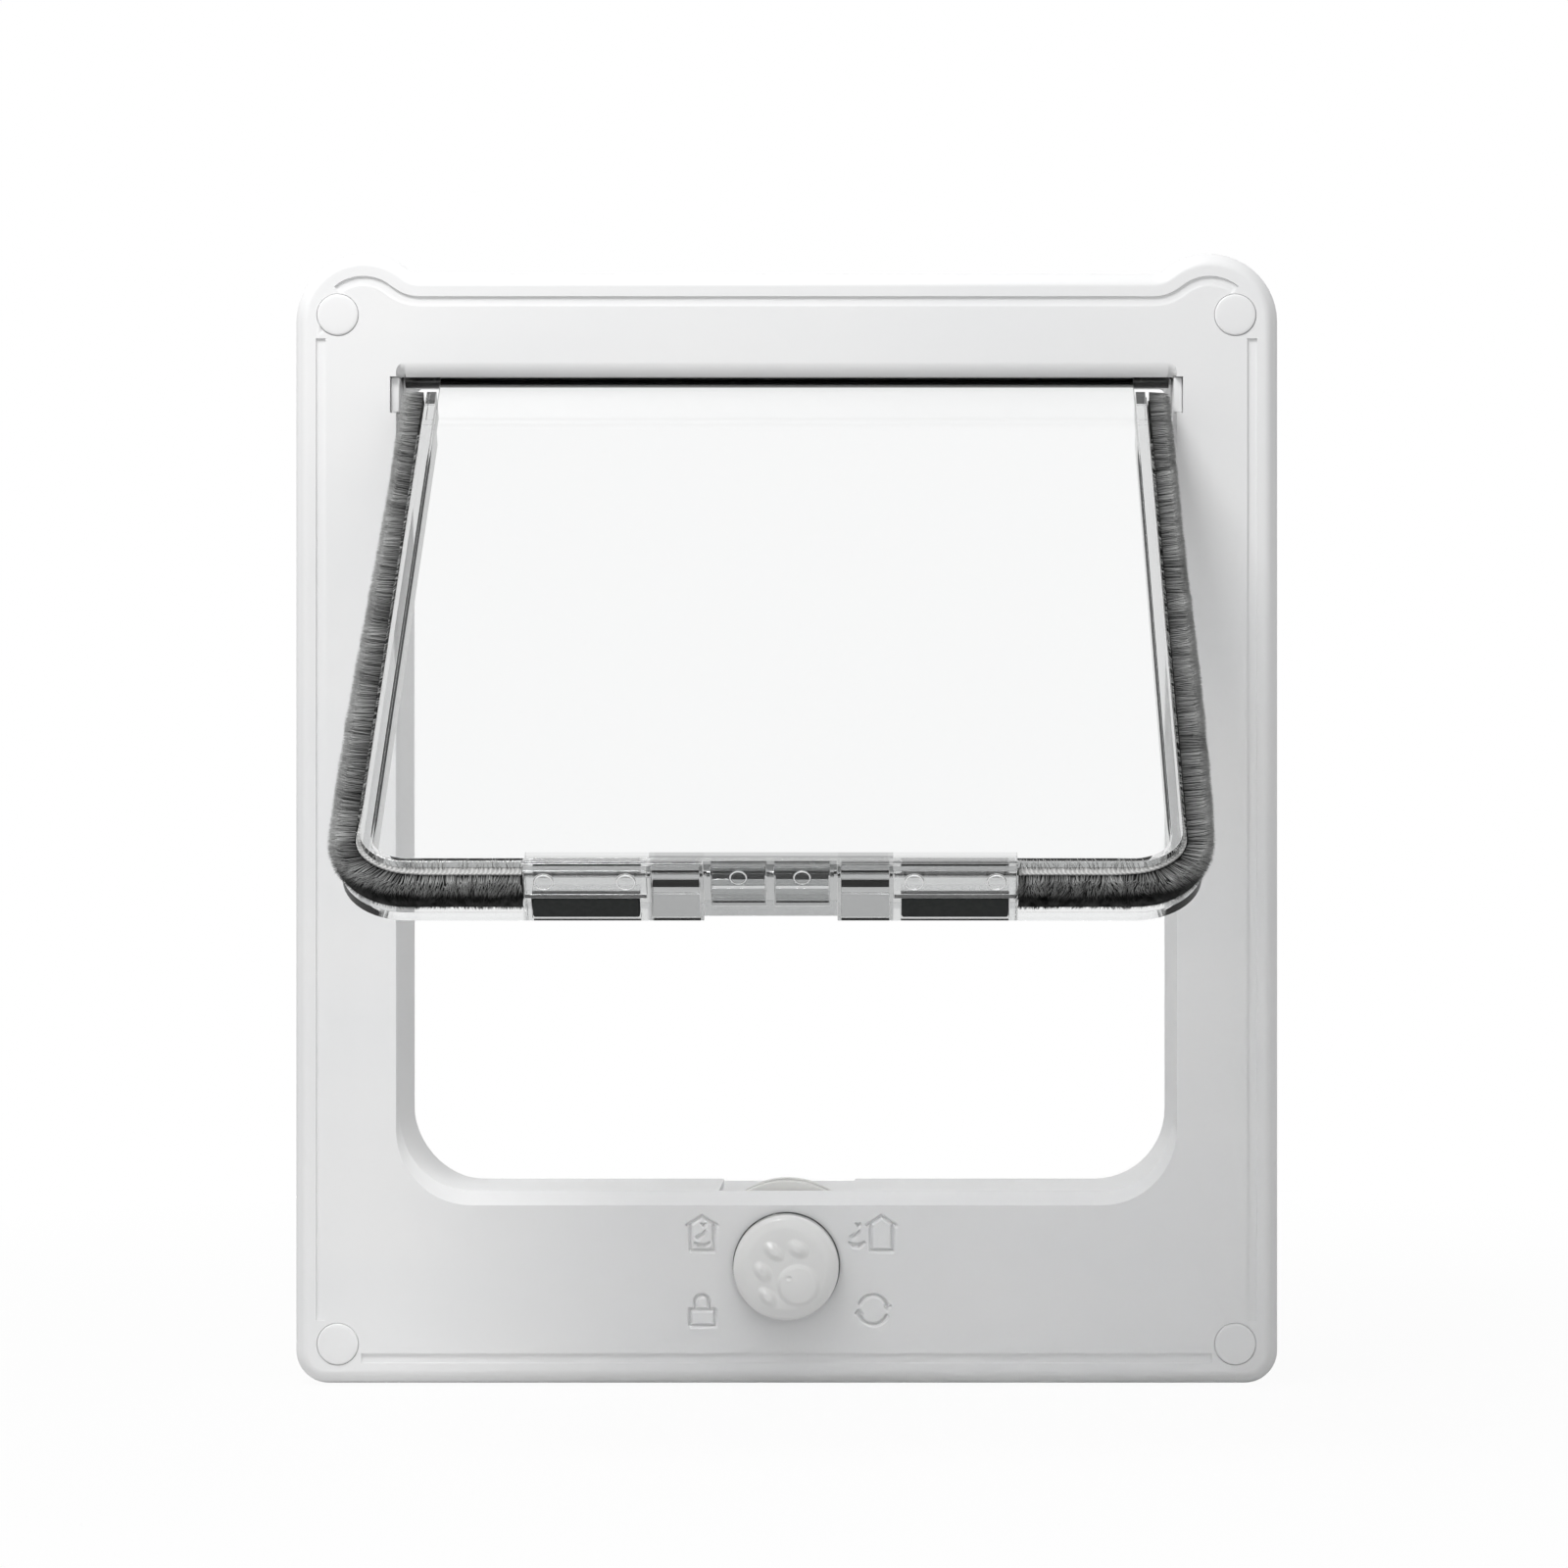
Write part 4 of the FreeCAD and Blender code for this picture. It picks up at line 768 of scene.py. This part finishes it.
def add_frame_screws():
    """Four screws: a domed pan head with a cross recess and a threaded shank each, as one piece."""
    low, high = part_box("frame_screws")
    head_tall = 2.6
    seat = low.y / MM + head_tall
    points, faces = [], []
    start = 0
    for x in (low.x / MM + 3.8, high.x / MM - 3.8):
        for z in (low.z / MM + 3.8, high.z / MM - 3.8):
            shank, quads = threaded_shank((x * MM, z * MM), seat, high.y / MM, 2.0, 1.5, 0.35)
            points.append(shank)
            faces.append(quads + start)
            start += len(shank)
            radii = np.concatenate([np.linspace(0.02, 2.9, 16), [3.3, 3.6, 3.78, 3.78, 2.0]])
            rise = np.concatenate([0.25 * (np.linspace(0.02, 2.9, 16) / 3.8) ** 2, [0.3, 0.6, 1.1, 2.6, 2.6]])
            angle = np.linspace(0, 2 * np.pi, 48, endpoint=False)[None, :]
            r = radii[:, None]
            y = rise[:, None] + cross_recess(r, angle, 0.4, 1.9, 1.6) * (r < 3.0)
            head = np.stack([(x + r * np.cos(angle)) * MM, np.broadcast_to((low.y / MM + y) * MM, (21, 48)),
                             (z + r * np.sin(angle)) * MM], -1).reshape(-1, 3)
            points.append(head)
            faces.append(grid_faces(21, 48, wrap_columns=True) + start)
            start += len(head)
    piece = new_object("long_screws", np.concatenate(points), np.concatenate(faces), STEEL)
    close_poles(piece)
    stand_for(piece, "frame_screws")


def add_knob_screw():
    low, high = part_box("knob_screw")
    centre = ((low.x + high.x) / 2, high.y, (low.z + high.z) / 2)
    radii = np.linspace(0.0, 2.8, 18)
    profile = [(r, -0.22 * (r / 3.4) ** 2) for r in radii]
    profile += [(3.1, -0.35), (3.33, -0.6), (3.38, -1.18), (1.45, -1.2), (1.45, (low.y - high.y) / MM + 0.5),
                (0.0, (low.y - high.y) / MM)]
    piece = turned("knob_fixing_screw", profile, centre, STEEL, 48,
                   lambda r, a: -cross_recess(r, a, 0.38, 1.8, 0.9) * (r < 2.9))
    stand_for(piece, "knob_screw")


# ---- knob ----

PAW = (
    (3.2, -4.2, 5.4, 5.35, 0.0), (-3.0, 4.3, 3.15, 1.9, -41.0), (3.0, 4.95, 3.0, 2.1, -35.0),
    (-5.85, -0.75, 2.9, 1.9, -50.0), (-4.55, -7.15, 3.0, 1.9, -45.0),
)


def paw_height(x, z):
    """Height of the raised paw: each toe a soft hill over its own ellipse, the big pad a low dome with a
    rounded rim and a dimple near its top."""
    height = np.zeros(x.shape)
    for i, (cx, cz, long_half, short_half, turn) in enumerate(PAW):
        c, s = math.cos(math.radians(turn)), math.sin(math.radians(turn))
        u, v = (x - cx) * c + (z - cz) * s, -(x - cx) * s + (z - cz) * c
        d = np.hypot(u / long_half, v / short_half)
        dome = np.clip(1 - d * d, 0, 1)
        if i == 0:
            pad = 0.75 * (1 - smooth_step(d, 0.78, 1.04)) + 0.45 * dome
        else:
            pad = 1.15 * (1 - smooth_step(d, 0.25, 1.1))
        height = np.maximum(height, pad)
    dimple = np.hypot((x - 0.75) / 1.0, (z + 2.3) / 0.75)
    return height - 0.4 * (1 - smooth_step(dimple, 0.2, 1.0))


def add_knob():
    """The knob's cap: a flat face that bends softly into a sloped rim and a rounded edge, with the paw raised
    on it. Its fall is 0.42 of the way past 10.3 mm, softened by a root, plus a quarter arc at the edge."""
    node_low, node_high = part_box("lock_knob")
    face = node_low.y / MM + 1.05
    base = FACE_Y / MM - 1.1
    radius = 13.4
    edge, flat = 1.2, 10.9
    turn = np.linspace(0, np.pi / 2, 10)[1:]
    reach = np.concatenate([np.linspace(0, radius - edge, 104), radius - edge + edge * np.sin(turn)])
    past = reach - 10.3
    fall = 0.42 * (past + np.sqrt(past ** 2 + 0.16)) / 2
    fall[-len(turn):] += edge * (1 - np.cos(turn))
    deep = base - face
    profile = list(zip(reach, fall)) + [(radius, deep - 0.25), (radius - 0.25, deep), (4.9, deep)]
    rows = np.array(profile)
    piece = turned("knob_cap", rows, (0.0, face * MM, KNOB.z), GLOSS_WHITE, 200,
                   lambda r, a: -paw_height(r * np.cos(a), r * np.sin(a)) * (r < flat))
    stand_for(piece, "lock_knob")
    shaft = merged_copy("lock_knob")
    level = Vector((0, (base + 0.001) * MM, 0))
    bmesh.ops.bisect_plane(shaft, geom=shaft.verts[:] + shaft.edges[:] + shaft.faces[:], plane_co=level,
                           plane_no=Vector((0, -1, 0)), clear_outer=True)
    spindle = finished("knob_spindle", shaft, [GLOSS_WHITE])
    stand_for(spindle, "lock_knob")


# the washer takes a dark grey painted shade, for the dark ring seen round the knob's foot
def add_knob_ring():
    low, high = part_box("knob_ring")
    radius = (high.x - low.x) / 2 / MM
    deep = (high.y - low.y) / MM
    turn = np.linspace(-np.pi / 2, np.pi / 2, 9)
    rim = [(radius - 0.4 + 0.4 * math.cos(t), deep / 2 + deep / 2 * math.sin(t)) for t in turn]
    profile = [(5.1, 0.0)] + rim + [(5.1, deep), (5.1, 0.0)]
    stand_for(turned("knob_washer", profile, (0.0, low.y, KNOB.z), WASHER_SHADE, 96), "knob_ring")


# ---- brush pile ----

SEAT_HALF, SEAT_DROP, SEAT_CORNER = 91.2, 201.3, 11.0
RUN_TOP, RUN_END = 14.1, 54.5
SIDE_RUN = SEAT_DROP - SEAT_CORNER - RUN_TOP
CORNER_RUN = SEAT_CORNER * math.pi / 2
FOOT_RUN = SEAT_HALF - SEAT_CORNER - RUN_END
PILE_RUN = SIDE_RUN + CORNER_RUN + FOOT_RUN
PILE_FRONT, PILE_REAR = -1.5, 6.4


def seat_path(s, side):
    """Places along the seat of the pile, s mm from its top: straight down, a quarter circle, and along the
    foot. Gives x, z and the outward direction."""
    s = np.asarray(s, float)
    turn = np.clip((s - SIDE_RUN) / CORNER_RUN, 0, 1) * np.pi / 2
    past = np.clip(s - SIDE_RUN - CORNER_RUN, 0, None)
    x = SEAT_HALF - SEAT_CORNER + SEAT_CORNER * np.cos(turn) - past
    z = -np.minimum(RUN_TOP + s, SEAT_DROP - SEAT_CORNER) - SEAT_CORNER * np.sin(turn)
    return side * x, z, side * np.cos(turn), -np.sin(turn)


def add_pile(name, side, seed):
    """Pile fibres: each one a three-sided spike that leaves the tape, bends at its middle and ends in a
    point. Lean along the strip and length come from smooth noise, so that the fibres lie in clumps; the grey
    level is darker in clumps, with painted shade at the root and along the rear of the foot and a painted
    highlight on the tips round the corner. A few stray fibres of the front row lie over the tape's edge."""
    rng = np.random.default_rng(seed)
    across, along = 34, 620
    s = (np.arange(along)[:, None] + rng.uniform(-0.6, 0.6, (along, across))) * PILE_RUN / along
    s = np.clip(s, 0.3, PILE_RUN - 0.3).ravel()
    w = ((np.arange(across)[None, :] + rng.uniform(0.1, 0.9, (along, across))) / across).ravel()
    s = s - 3.4 * (1 - smooth_step(s, 0.0, 12.0)) * (1 - smooth_step(w, 0.35, 0.6))
    x, z, nx, nz = seat_path(s, side)
    tx, tz = -nz, nx
    y = PILE_FRONT + (PILE_REAR - PILE_FRONT) * w
    edge = 2 * w - 1
    at_foot = smooth_step(s, SIDE_RUN * 0.9, SIDE_RUN + CORNER_RUN)
    clump = soft_noise(s / 5.5, w * 2.2, seed + 1)
    fine = soft_noise(s / 1.1, w * 3.0, seed + 2)
    strand = soft_noise(s / 0.35, w * 1.3, seed + 3)
    tall = 6.9 + 1.1 * smooth_step(s, SIDE_RUN * 0.2, SIDE_RUN * 0.8) - 0.9 * at_foot
    tall = tall * (1 - 0.1 * edge ** 4) * (1 - 0.38 * at_foot * smooth_step(w, 0.3, 1.0))
    tall = tall + 0.2 * clump + 0.12 * rng.normal(size=s.size)
    lean = 0.75 * clump + 0.4 * fine + 0.18 * rng.normal(size=s.size)
    splay = edge * (0.7 + 0.5 * np.abs(edge)) + 0.35 * soft_noise(s / 4.0, w * 2.0, seed + 4) \
        + 0.25 * rng.normal(size=s.size)
    splay = np.minimum(splay, PILE_REAR + 0.35 - y)
    spin = rng.uniform(0, 2 * np.pi, s.size)
    stray = (w < 0.045) & (rng.uniform(size=s.size) < 0.4) & (s > 20)
    tall = np.where(stray, rng.uniform(-0.9, 0.4, s.size), tall)
    splay = np.where(stray, rng.uniform(-3.4, -2.5, s.size), splay)
    rows = []
    for share, thick in ((0.08, 0.105), (0.6, 0.095)):
        out = 0.7 + np.where(stray & (share > 0.5), 0.1, tall * share)
        shift = lean * share ** 2 * 2.2
        drop = splay * np.where(stray, share ** 0.6, share ** 2)
        centre = np.stack([x + nx * out + tx * shift, y + drop, z + nz * out + tz * shift], -1)
        for k in range(3):
            angle = spin + k * 2 * np.pi / 3
            ring = np.stack([tx * np.cos(angle), np.sin(angle), tz * np.cos(angle)], -1) * thick
            rows.append(centre + ring)
    tip = np.stack([x + nx * tall + tx * lean * 2.2, y + splay, z + nz * tall + tz * lean * 2.2], -1)
    rows.append(tip)
    points = raised(np.stack(rows, 1).reshape(-1, 3) * MM)
    base = np.arange(s.size)[:, None] * 7
    quads = np.concatenate([base + np.array(q) for q in ((0, 1, 4, 3), (1, 2, 5, 4), (2, 0, 3, 5))])
    tips = np.concatenate([base + np.array(t) for t in ((3, 4, 6), (4, 5, 6), (5, 3, 6))])
    faces = [tuple(f) for f in quads.tolist() + tips.tolist()]
    piece = new_object(name, points, faces, PILE)
    light = 0.70 + 0.17 * clump + 0.15 * fine + 0.18 * strand + 0.08 * rng.normal(size=s.size)
    foot_start = SIDE_RUN + CORNER_RUN
    at_corner = smooth_step(s, SIDE_RUN, SIDE_RUN + 6) * (1 - smooth_step(s, foot_start - 4, foot_start + 6))
    # painted shade: along the foot the rear of the pile is darkened almost to black
    shade = smooth_step(w + 0.08 * clump, 0.22, 0.42) * at_foot
    light = np.clip(light * (1 + 0.05 * at_foot) * (1 - 0.995 * shade), 0.0, 1.0)
    light = np.where(stray, 1.0, light)
    # painted shade at the root, brightest at the tip
    tone_and_shading = light[:, None] * np.array([0.35, 0.35, 0.35, 0.95, 0.95, 0.95, 1.15])[None, :]
    # painted highlight on the rear tips round the corner
    tone_and_shading[:, 6] += 0.45 * at_corner * smooth_step(w, 0.75, 0.95)
    layer = piece.data.attributes.new("tone_and_shading", "FLOAT", "POINT")
    layer.data.foreach_set("value", np.clip(tone_and_shading, 0, 1).astype(np.float32).ravel())
    finish_direction(piece)
    return piece


def finish_direction(piece):
    mesh = bmesh.new()
    mesh.from_mesh(piece.data)
    bmesh.ops.recalc_face_normals(mesh, faces=mesh.faces)
    mesh.to_mesh(piece.data)
    mesh.free()


def tape_lip(s):
    """How far the tape's front edge is drawn out: little on the sides, 2 mm wide along the foot."""
    corner = smooth_step(s, SIDE_RUN - 12, SIDE_RUN + CORNER_RUN * 0.5)
    return 0.7 * corner + 1.3 * smooth_step(s, SIDE_RUN + CORNER_RUN * 0.5, SIDE_RUN + CORNER_RUN + 6)


def strip_solid(name, side, section, material, step=1.2, lip=None):
    """A closed section of (out, y) rows carried along the seat path, with flat ends. A lip given as lengths
    along the path draws the section's front edge outwards."""
    s = np.linspace(0.1, PILE_RUN - 0.1, int(PILE_RUN / step) + 1)
    x, z, nx, nz = seat_path(s, side)
    section = np.asarray(section, float)
    out, y = section[:, 0][None, :], section[:, 1][None, :]
    if lip is not None:
        at_front = 1 - smooth_step(y, PILE_FRONT - 0.1, PILE_FRONT + 0.5)
        out = out + lip(s)[:, None] * at_front * smooth_step(out, 0.0, 0.4)
    points = np.stack([x[:, None] + nx[:, None] * out, np.broadcast_to(y, (len(s), len(section))),
                       z[:, None] + nz[:, None] * out], -1)
    rows, columns = points.shape[:2]
    faces = [tuple(f) for f in grid_faces(rows, columns, wrap_columns=True).tolist()]
    faces.append(tuple(range(columns)))
    faces.append(tuple(range((rows - 1) * columns, rows * columns)))
    piece = new_object(name, raised(points.reshape(-1, 3) * MM), faces, material)
    finish_direction(piece)
    piece.data.set_sharp_from_angle(angle=math.radians(40))
    return piece, s


def add_pile_strips():
    for name, side, seed in (("left", -1, 11), ("right", 1, 47)):
        node = f"pile_strip_{name}"
        fibres = add_pile(f"pile_fibres_{name}", side, seed)
        stand_for(fibres, node)
        # the pile's core takes the painted shade between the fibres
        root = [(0.8, PILE_FRONT + 0.5), (4.4, PILE_FRONT + 0.6), (5.2, PILE_FRONT + 1.6), (5.4, 1.7),
                (5.2, PILE_REAR - 1.6), (4.4, PILE_REAR - 0.6), (0.8, PILE_REAR - 0.5)]
        core, _ = strip_solid(f"pile_shade_core_{name}", side, root, PILE_SHADE_CORE)
        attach(core, "flap")
        edge = [(0.02, PILE_FRONT - 0.45), (0.3, PILE_FRONT - 0.6), (0.45, PILE_FRONT - 0.5),
                (0.5, PILE_FRONT - 0.2), (0.5, PILE_FRONT + 0.3), (0.5, PILE_FRONT + 0.6),
                (0.5, PILE_REAR + 0.2), (0.02, PILE_REAR + 0.2)]
        tape, s = strip_solid(f"pile_tape_{name}", side, edge, TAPE, 0.25, tape_lip)
        columns = len(edge)
        weave = s[:, None] * 2 * np.pi / 1.0 + np.array([0, 0.2, 2.9, 3.1, 3.1, 0.0, 0.0, 0.0])[None, :] * 1.0
        layer = tape.data.attributes.new("weave", "FLOAT", "POINT")
        layer.data.foreach_set("value", weave.astype(np.float32).ravel())
        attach(tape, "flap")


# ---- clear pieces ----

SIDES = (("left", -1), ("right", 1))
RIM_INNER = 88.7
STUD_BEAD = 0.22
STUD_Y = -1.8
FOOT = -206.1


def add_stud_bead(name, body, x, level, radius):
    """A rounded bead that stands round a stud: a ring of round section about the flap's own down
    direction."""
    around, across = 48, 10
    turn = np.linspace(0, 2 * np.pi, around, endpoint=False)[:, None]
    roll = np.linspace(0, 2 * np.pi, across, endpoint=False)[None, :]
    out = radius - STUD_BEAD + STUD_BEAD * np.cos(roll)
    points = np.stack([x + out * np.cos(turn), STUD_Y + out * np.sin(turn),
                       np.broadcast_to(level + STUD_BEAD * np.sin(roll), (around, across))], -1)
    faces = grid_faces(around, across, wrap_columns=True, wrap_rows=True)
    # the bead takes the painted edge highlight
    bead = new_object(name, raised(points.reshape(-1, 3) * MM), [tuple(f) for f in faces.tolist()], EDGE)
    finish_direction(bead)
    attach(bead, body)


def add_rim_shade_strips():
    """Painted shade where each side wall meets the window sheet: a near black strip for the corner inside the
    plastic, which throws no light forward. A flat strip on the sheet, drawn about the hinge and turned to the rest
    pose."""
    for side, way in SIDES:
        inner, outer = way * (RIM_INNER - 0.55), way * (RIM_INNER - 0.05)
        z = np.linspace(-192.0, -34.0, 80)
        half = 0.25 * smooth_step(z, -192.0, -184.0) * (1 - smooth_step(z, -44.0, -34.0)) + 0.01
        middle = (inner + outer) / 2
        rows = [np.stack([middle + k * half, np.full(80, -1.02), z], -1) for k in (-1, 1)]
        points = raised(np.stack(rows, 1).reshape(-1, 3) * MM)
        seam = new_object(f"rim_shade_strip_{side}", points, grid_faces(80, 2).tolist(), RIM_SHADE)
        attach(seam, "flap")


def add_clear_pieces():
    softened("flap_clear", "flap_panel", 0.42 * MM, [CLEAR, INNER_WALL_SHADE, EDGE], inner=RIM_INNER * MM)
    for side, way in SIDES:
        softened(f"cover_{side}", f"magnet_cover_{side}", 0.36 * MM, [CLEAR_COVER, EDGE])
        softened(f"latch_clear_{side}", f"latch_{side}", 0.3 * MM, [CLEAR_SMALL, EDGE])
        softened(f"magnet_block_{side}", f"flap_magnet_{side}", 0.5 * MM, [FERRITE])
        softened(f"magnet_sill_{side}", f"sill_magnet_{side}", 0.4 * MM, [FERRITE])
        softened(f"clip_{side}", f"hinge_clip_{side}", 0.4 * MM, [WHITE])
        for number, x in enumerate((31.6, 49.6)):
            add_stud_bead(f"cover_bead_{side}_{number}", "flap", x * way, FOOT - 0.3, 2.2)
        add_stud_bead(f"latch_bead_{side}", f"latch_{side}", 7.0 * way, FOOT + 1.35, 2.0)


def add_camera():
    """The camera stands a little to the right of the object's middle and looks straight into the door;
    a small shift puts the photograph's centre where it was."""
    data = bpy.data.cameras.new("camera")
    data.sensor_width = SENSOR_MM
    data.lens = SENSOR_MM * FOCAL_PIXELS / FRAME_PIXELS
    data.clip_end = 20.0
    camera = bpy.data.objects.new("camera", data)
    camera.location = (CAMERA_X, FACE_Y - CAMERA_DISTANCE, 0.0)
    camera.rotation_euler = (math.radians(90), 0, 0)
    shown_x = (FRAME_PIXELS / 2 - CENTRE_PIXEL_X) * PIXEL_MM * MM
    data.shift_x = (shown_x - CAMERA_X) * FOCAL_PIXELS / FRAME_PIXELS / CAMERA_DISTANCE
    bpy.context.scene.collection.objects.link(camera)
    bpy.context.scene.camera = camera


def add_lamp(name, place, aim, size, power, size_y=None):
    data = bpy.data.lights.new(name, "AREA")
    data.shape = "RECTANGLE"
    data.size = size
    data.size_y = size_y or size
    data.energy = power
    lamp = bpy.data.objects.new(name, data)
    lamp.location = place
    lamp.rotation_euler = (Vector(aim) - Vector(place)).to_track_quat("-Z", "Y").to_euler()
    bpy.context.scene.collection.objects.link(lamp)


def add_studio():
    """White world to the eye and through clear plastic, a soft grey one for lighting, and two softboxes."""
    world = bpy.data.worlds.new("studio")
    bpy.context.scene.world = world
    world.use_nodes = True
    nodes, links = world.node_tree.nodes, world.node_tree.links
    backdrop = nodes["Background"]
    backdrop.inputs["Color"].default_value = (1, 1, 1, 1)
    rays = nodes.new("ShaderNodeLightPath")
    either = nodes.new("ShaderNodeMath")
    either.operation = "MAXIMUM"
    seen = nodes.new("ShaderNodeMath")
    seen.operation = "MAXIMUM"
    links.new(rays.outputs["Is Camera Ray"], either.inputs[0])
    links.new(rays.outputs["Is Transmission Ray"], either.inputs[1])
    links.new(either.outputs[0], seen.inputs[0])
    links.new(rays.outputs["Is Glossy Ray"], seen.inputs[1])
    strength = nodes.new("ShaderNodeMapRange")
    strength.inputs["To Min"].default_value = 0.435
    strength.inputs["To Max"].default_value = 1.0
    links.new(seen.outputs[0], strength.inputs["Value"])
    links.new(strength.outputs["Result"], backdrop.inputs["Strength"])
    add_lamp("overhead_softbox", (-0.24, -0.42, 0.66), (0, 0, 0), 0.35, 4.35, 0.25)
    add_lamp("front_fill", (0.35, -1.3, 0.25), (0, 0, 0), 1.0, 1.1)


def add_floor():
    """A pale floor at the frame's foot that looks white and takes a faint shadow near the object."""
    shader = Shader("pale_floor")
    shader.set(rough=0.9, color=(0.74, 0.74, 0.74), specular=0.1)
    rays = shader.add("ShaderNodeLightPath")
    glow = shader.add("ShaderNodeEmission")
    glow.inputs["Strength"].default_value = 1.0
    mix = shader.add("ShaderNodeMixShader")
    seen = shader.reckon("MAXIMUM", rays.outputs["Is Camera Ray"], rays.outputs["Is Transmission Ray"])
    away = shader.add("ShaderNodeVectorMath", operation="LENGTH")
    where = shader.add("ShaderNodeTexCoord")
    shader.join(where.outputs["Object"], away.inputs[0])
    share = shader.reckon("MULTIPLY", seen, shader.ramp(away.outputs["Value"], 0.2, 0.55, 0.95, 1.0))
    shader.join(share, mix.inputs["Fac"])
    shader.join(shader.skin.outputs[0], mix.inputs[1])
    shader.join(glow.outputs[0], mix.inputs[2])
    shader.join(mix.outputs[0], shader.nodes["Material Output"].inputs["Surface"])
    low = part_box("front_frame")[0].z - 0.0005
    half = 4.0
    points = [(-half, -half, low), (half, -half, low), (half, half, low), (-half, half, low)]
    floor = new_object("floor", points, [(0, 1, 2, 3)], shader.material, smooth=False)


add_camera()
add_studio()
add_floor()
add_frame("frame_front", "front_frame", -1, [box for box, _ in SIGNS.values()])
add_frame("frame_rear", "rear_frame", 1)
for sign_name, (sign_box, sign_figure) in SIGNS.items():
    add_sign(sign_name, sign_box, sign_figure)
add_screw_caps()
add_frame_screws()
add_knob_screw()
add_knob()
add_knob_ring()
softened("drum_white", "lock_drum", 0.35 * MM, [CREAM_WHITE])
add_pile_strips()
add_clear_pieces()
add_rim_shade_strips()
bpy.context.scene.view_settings.view_transform = "Standard"
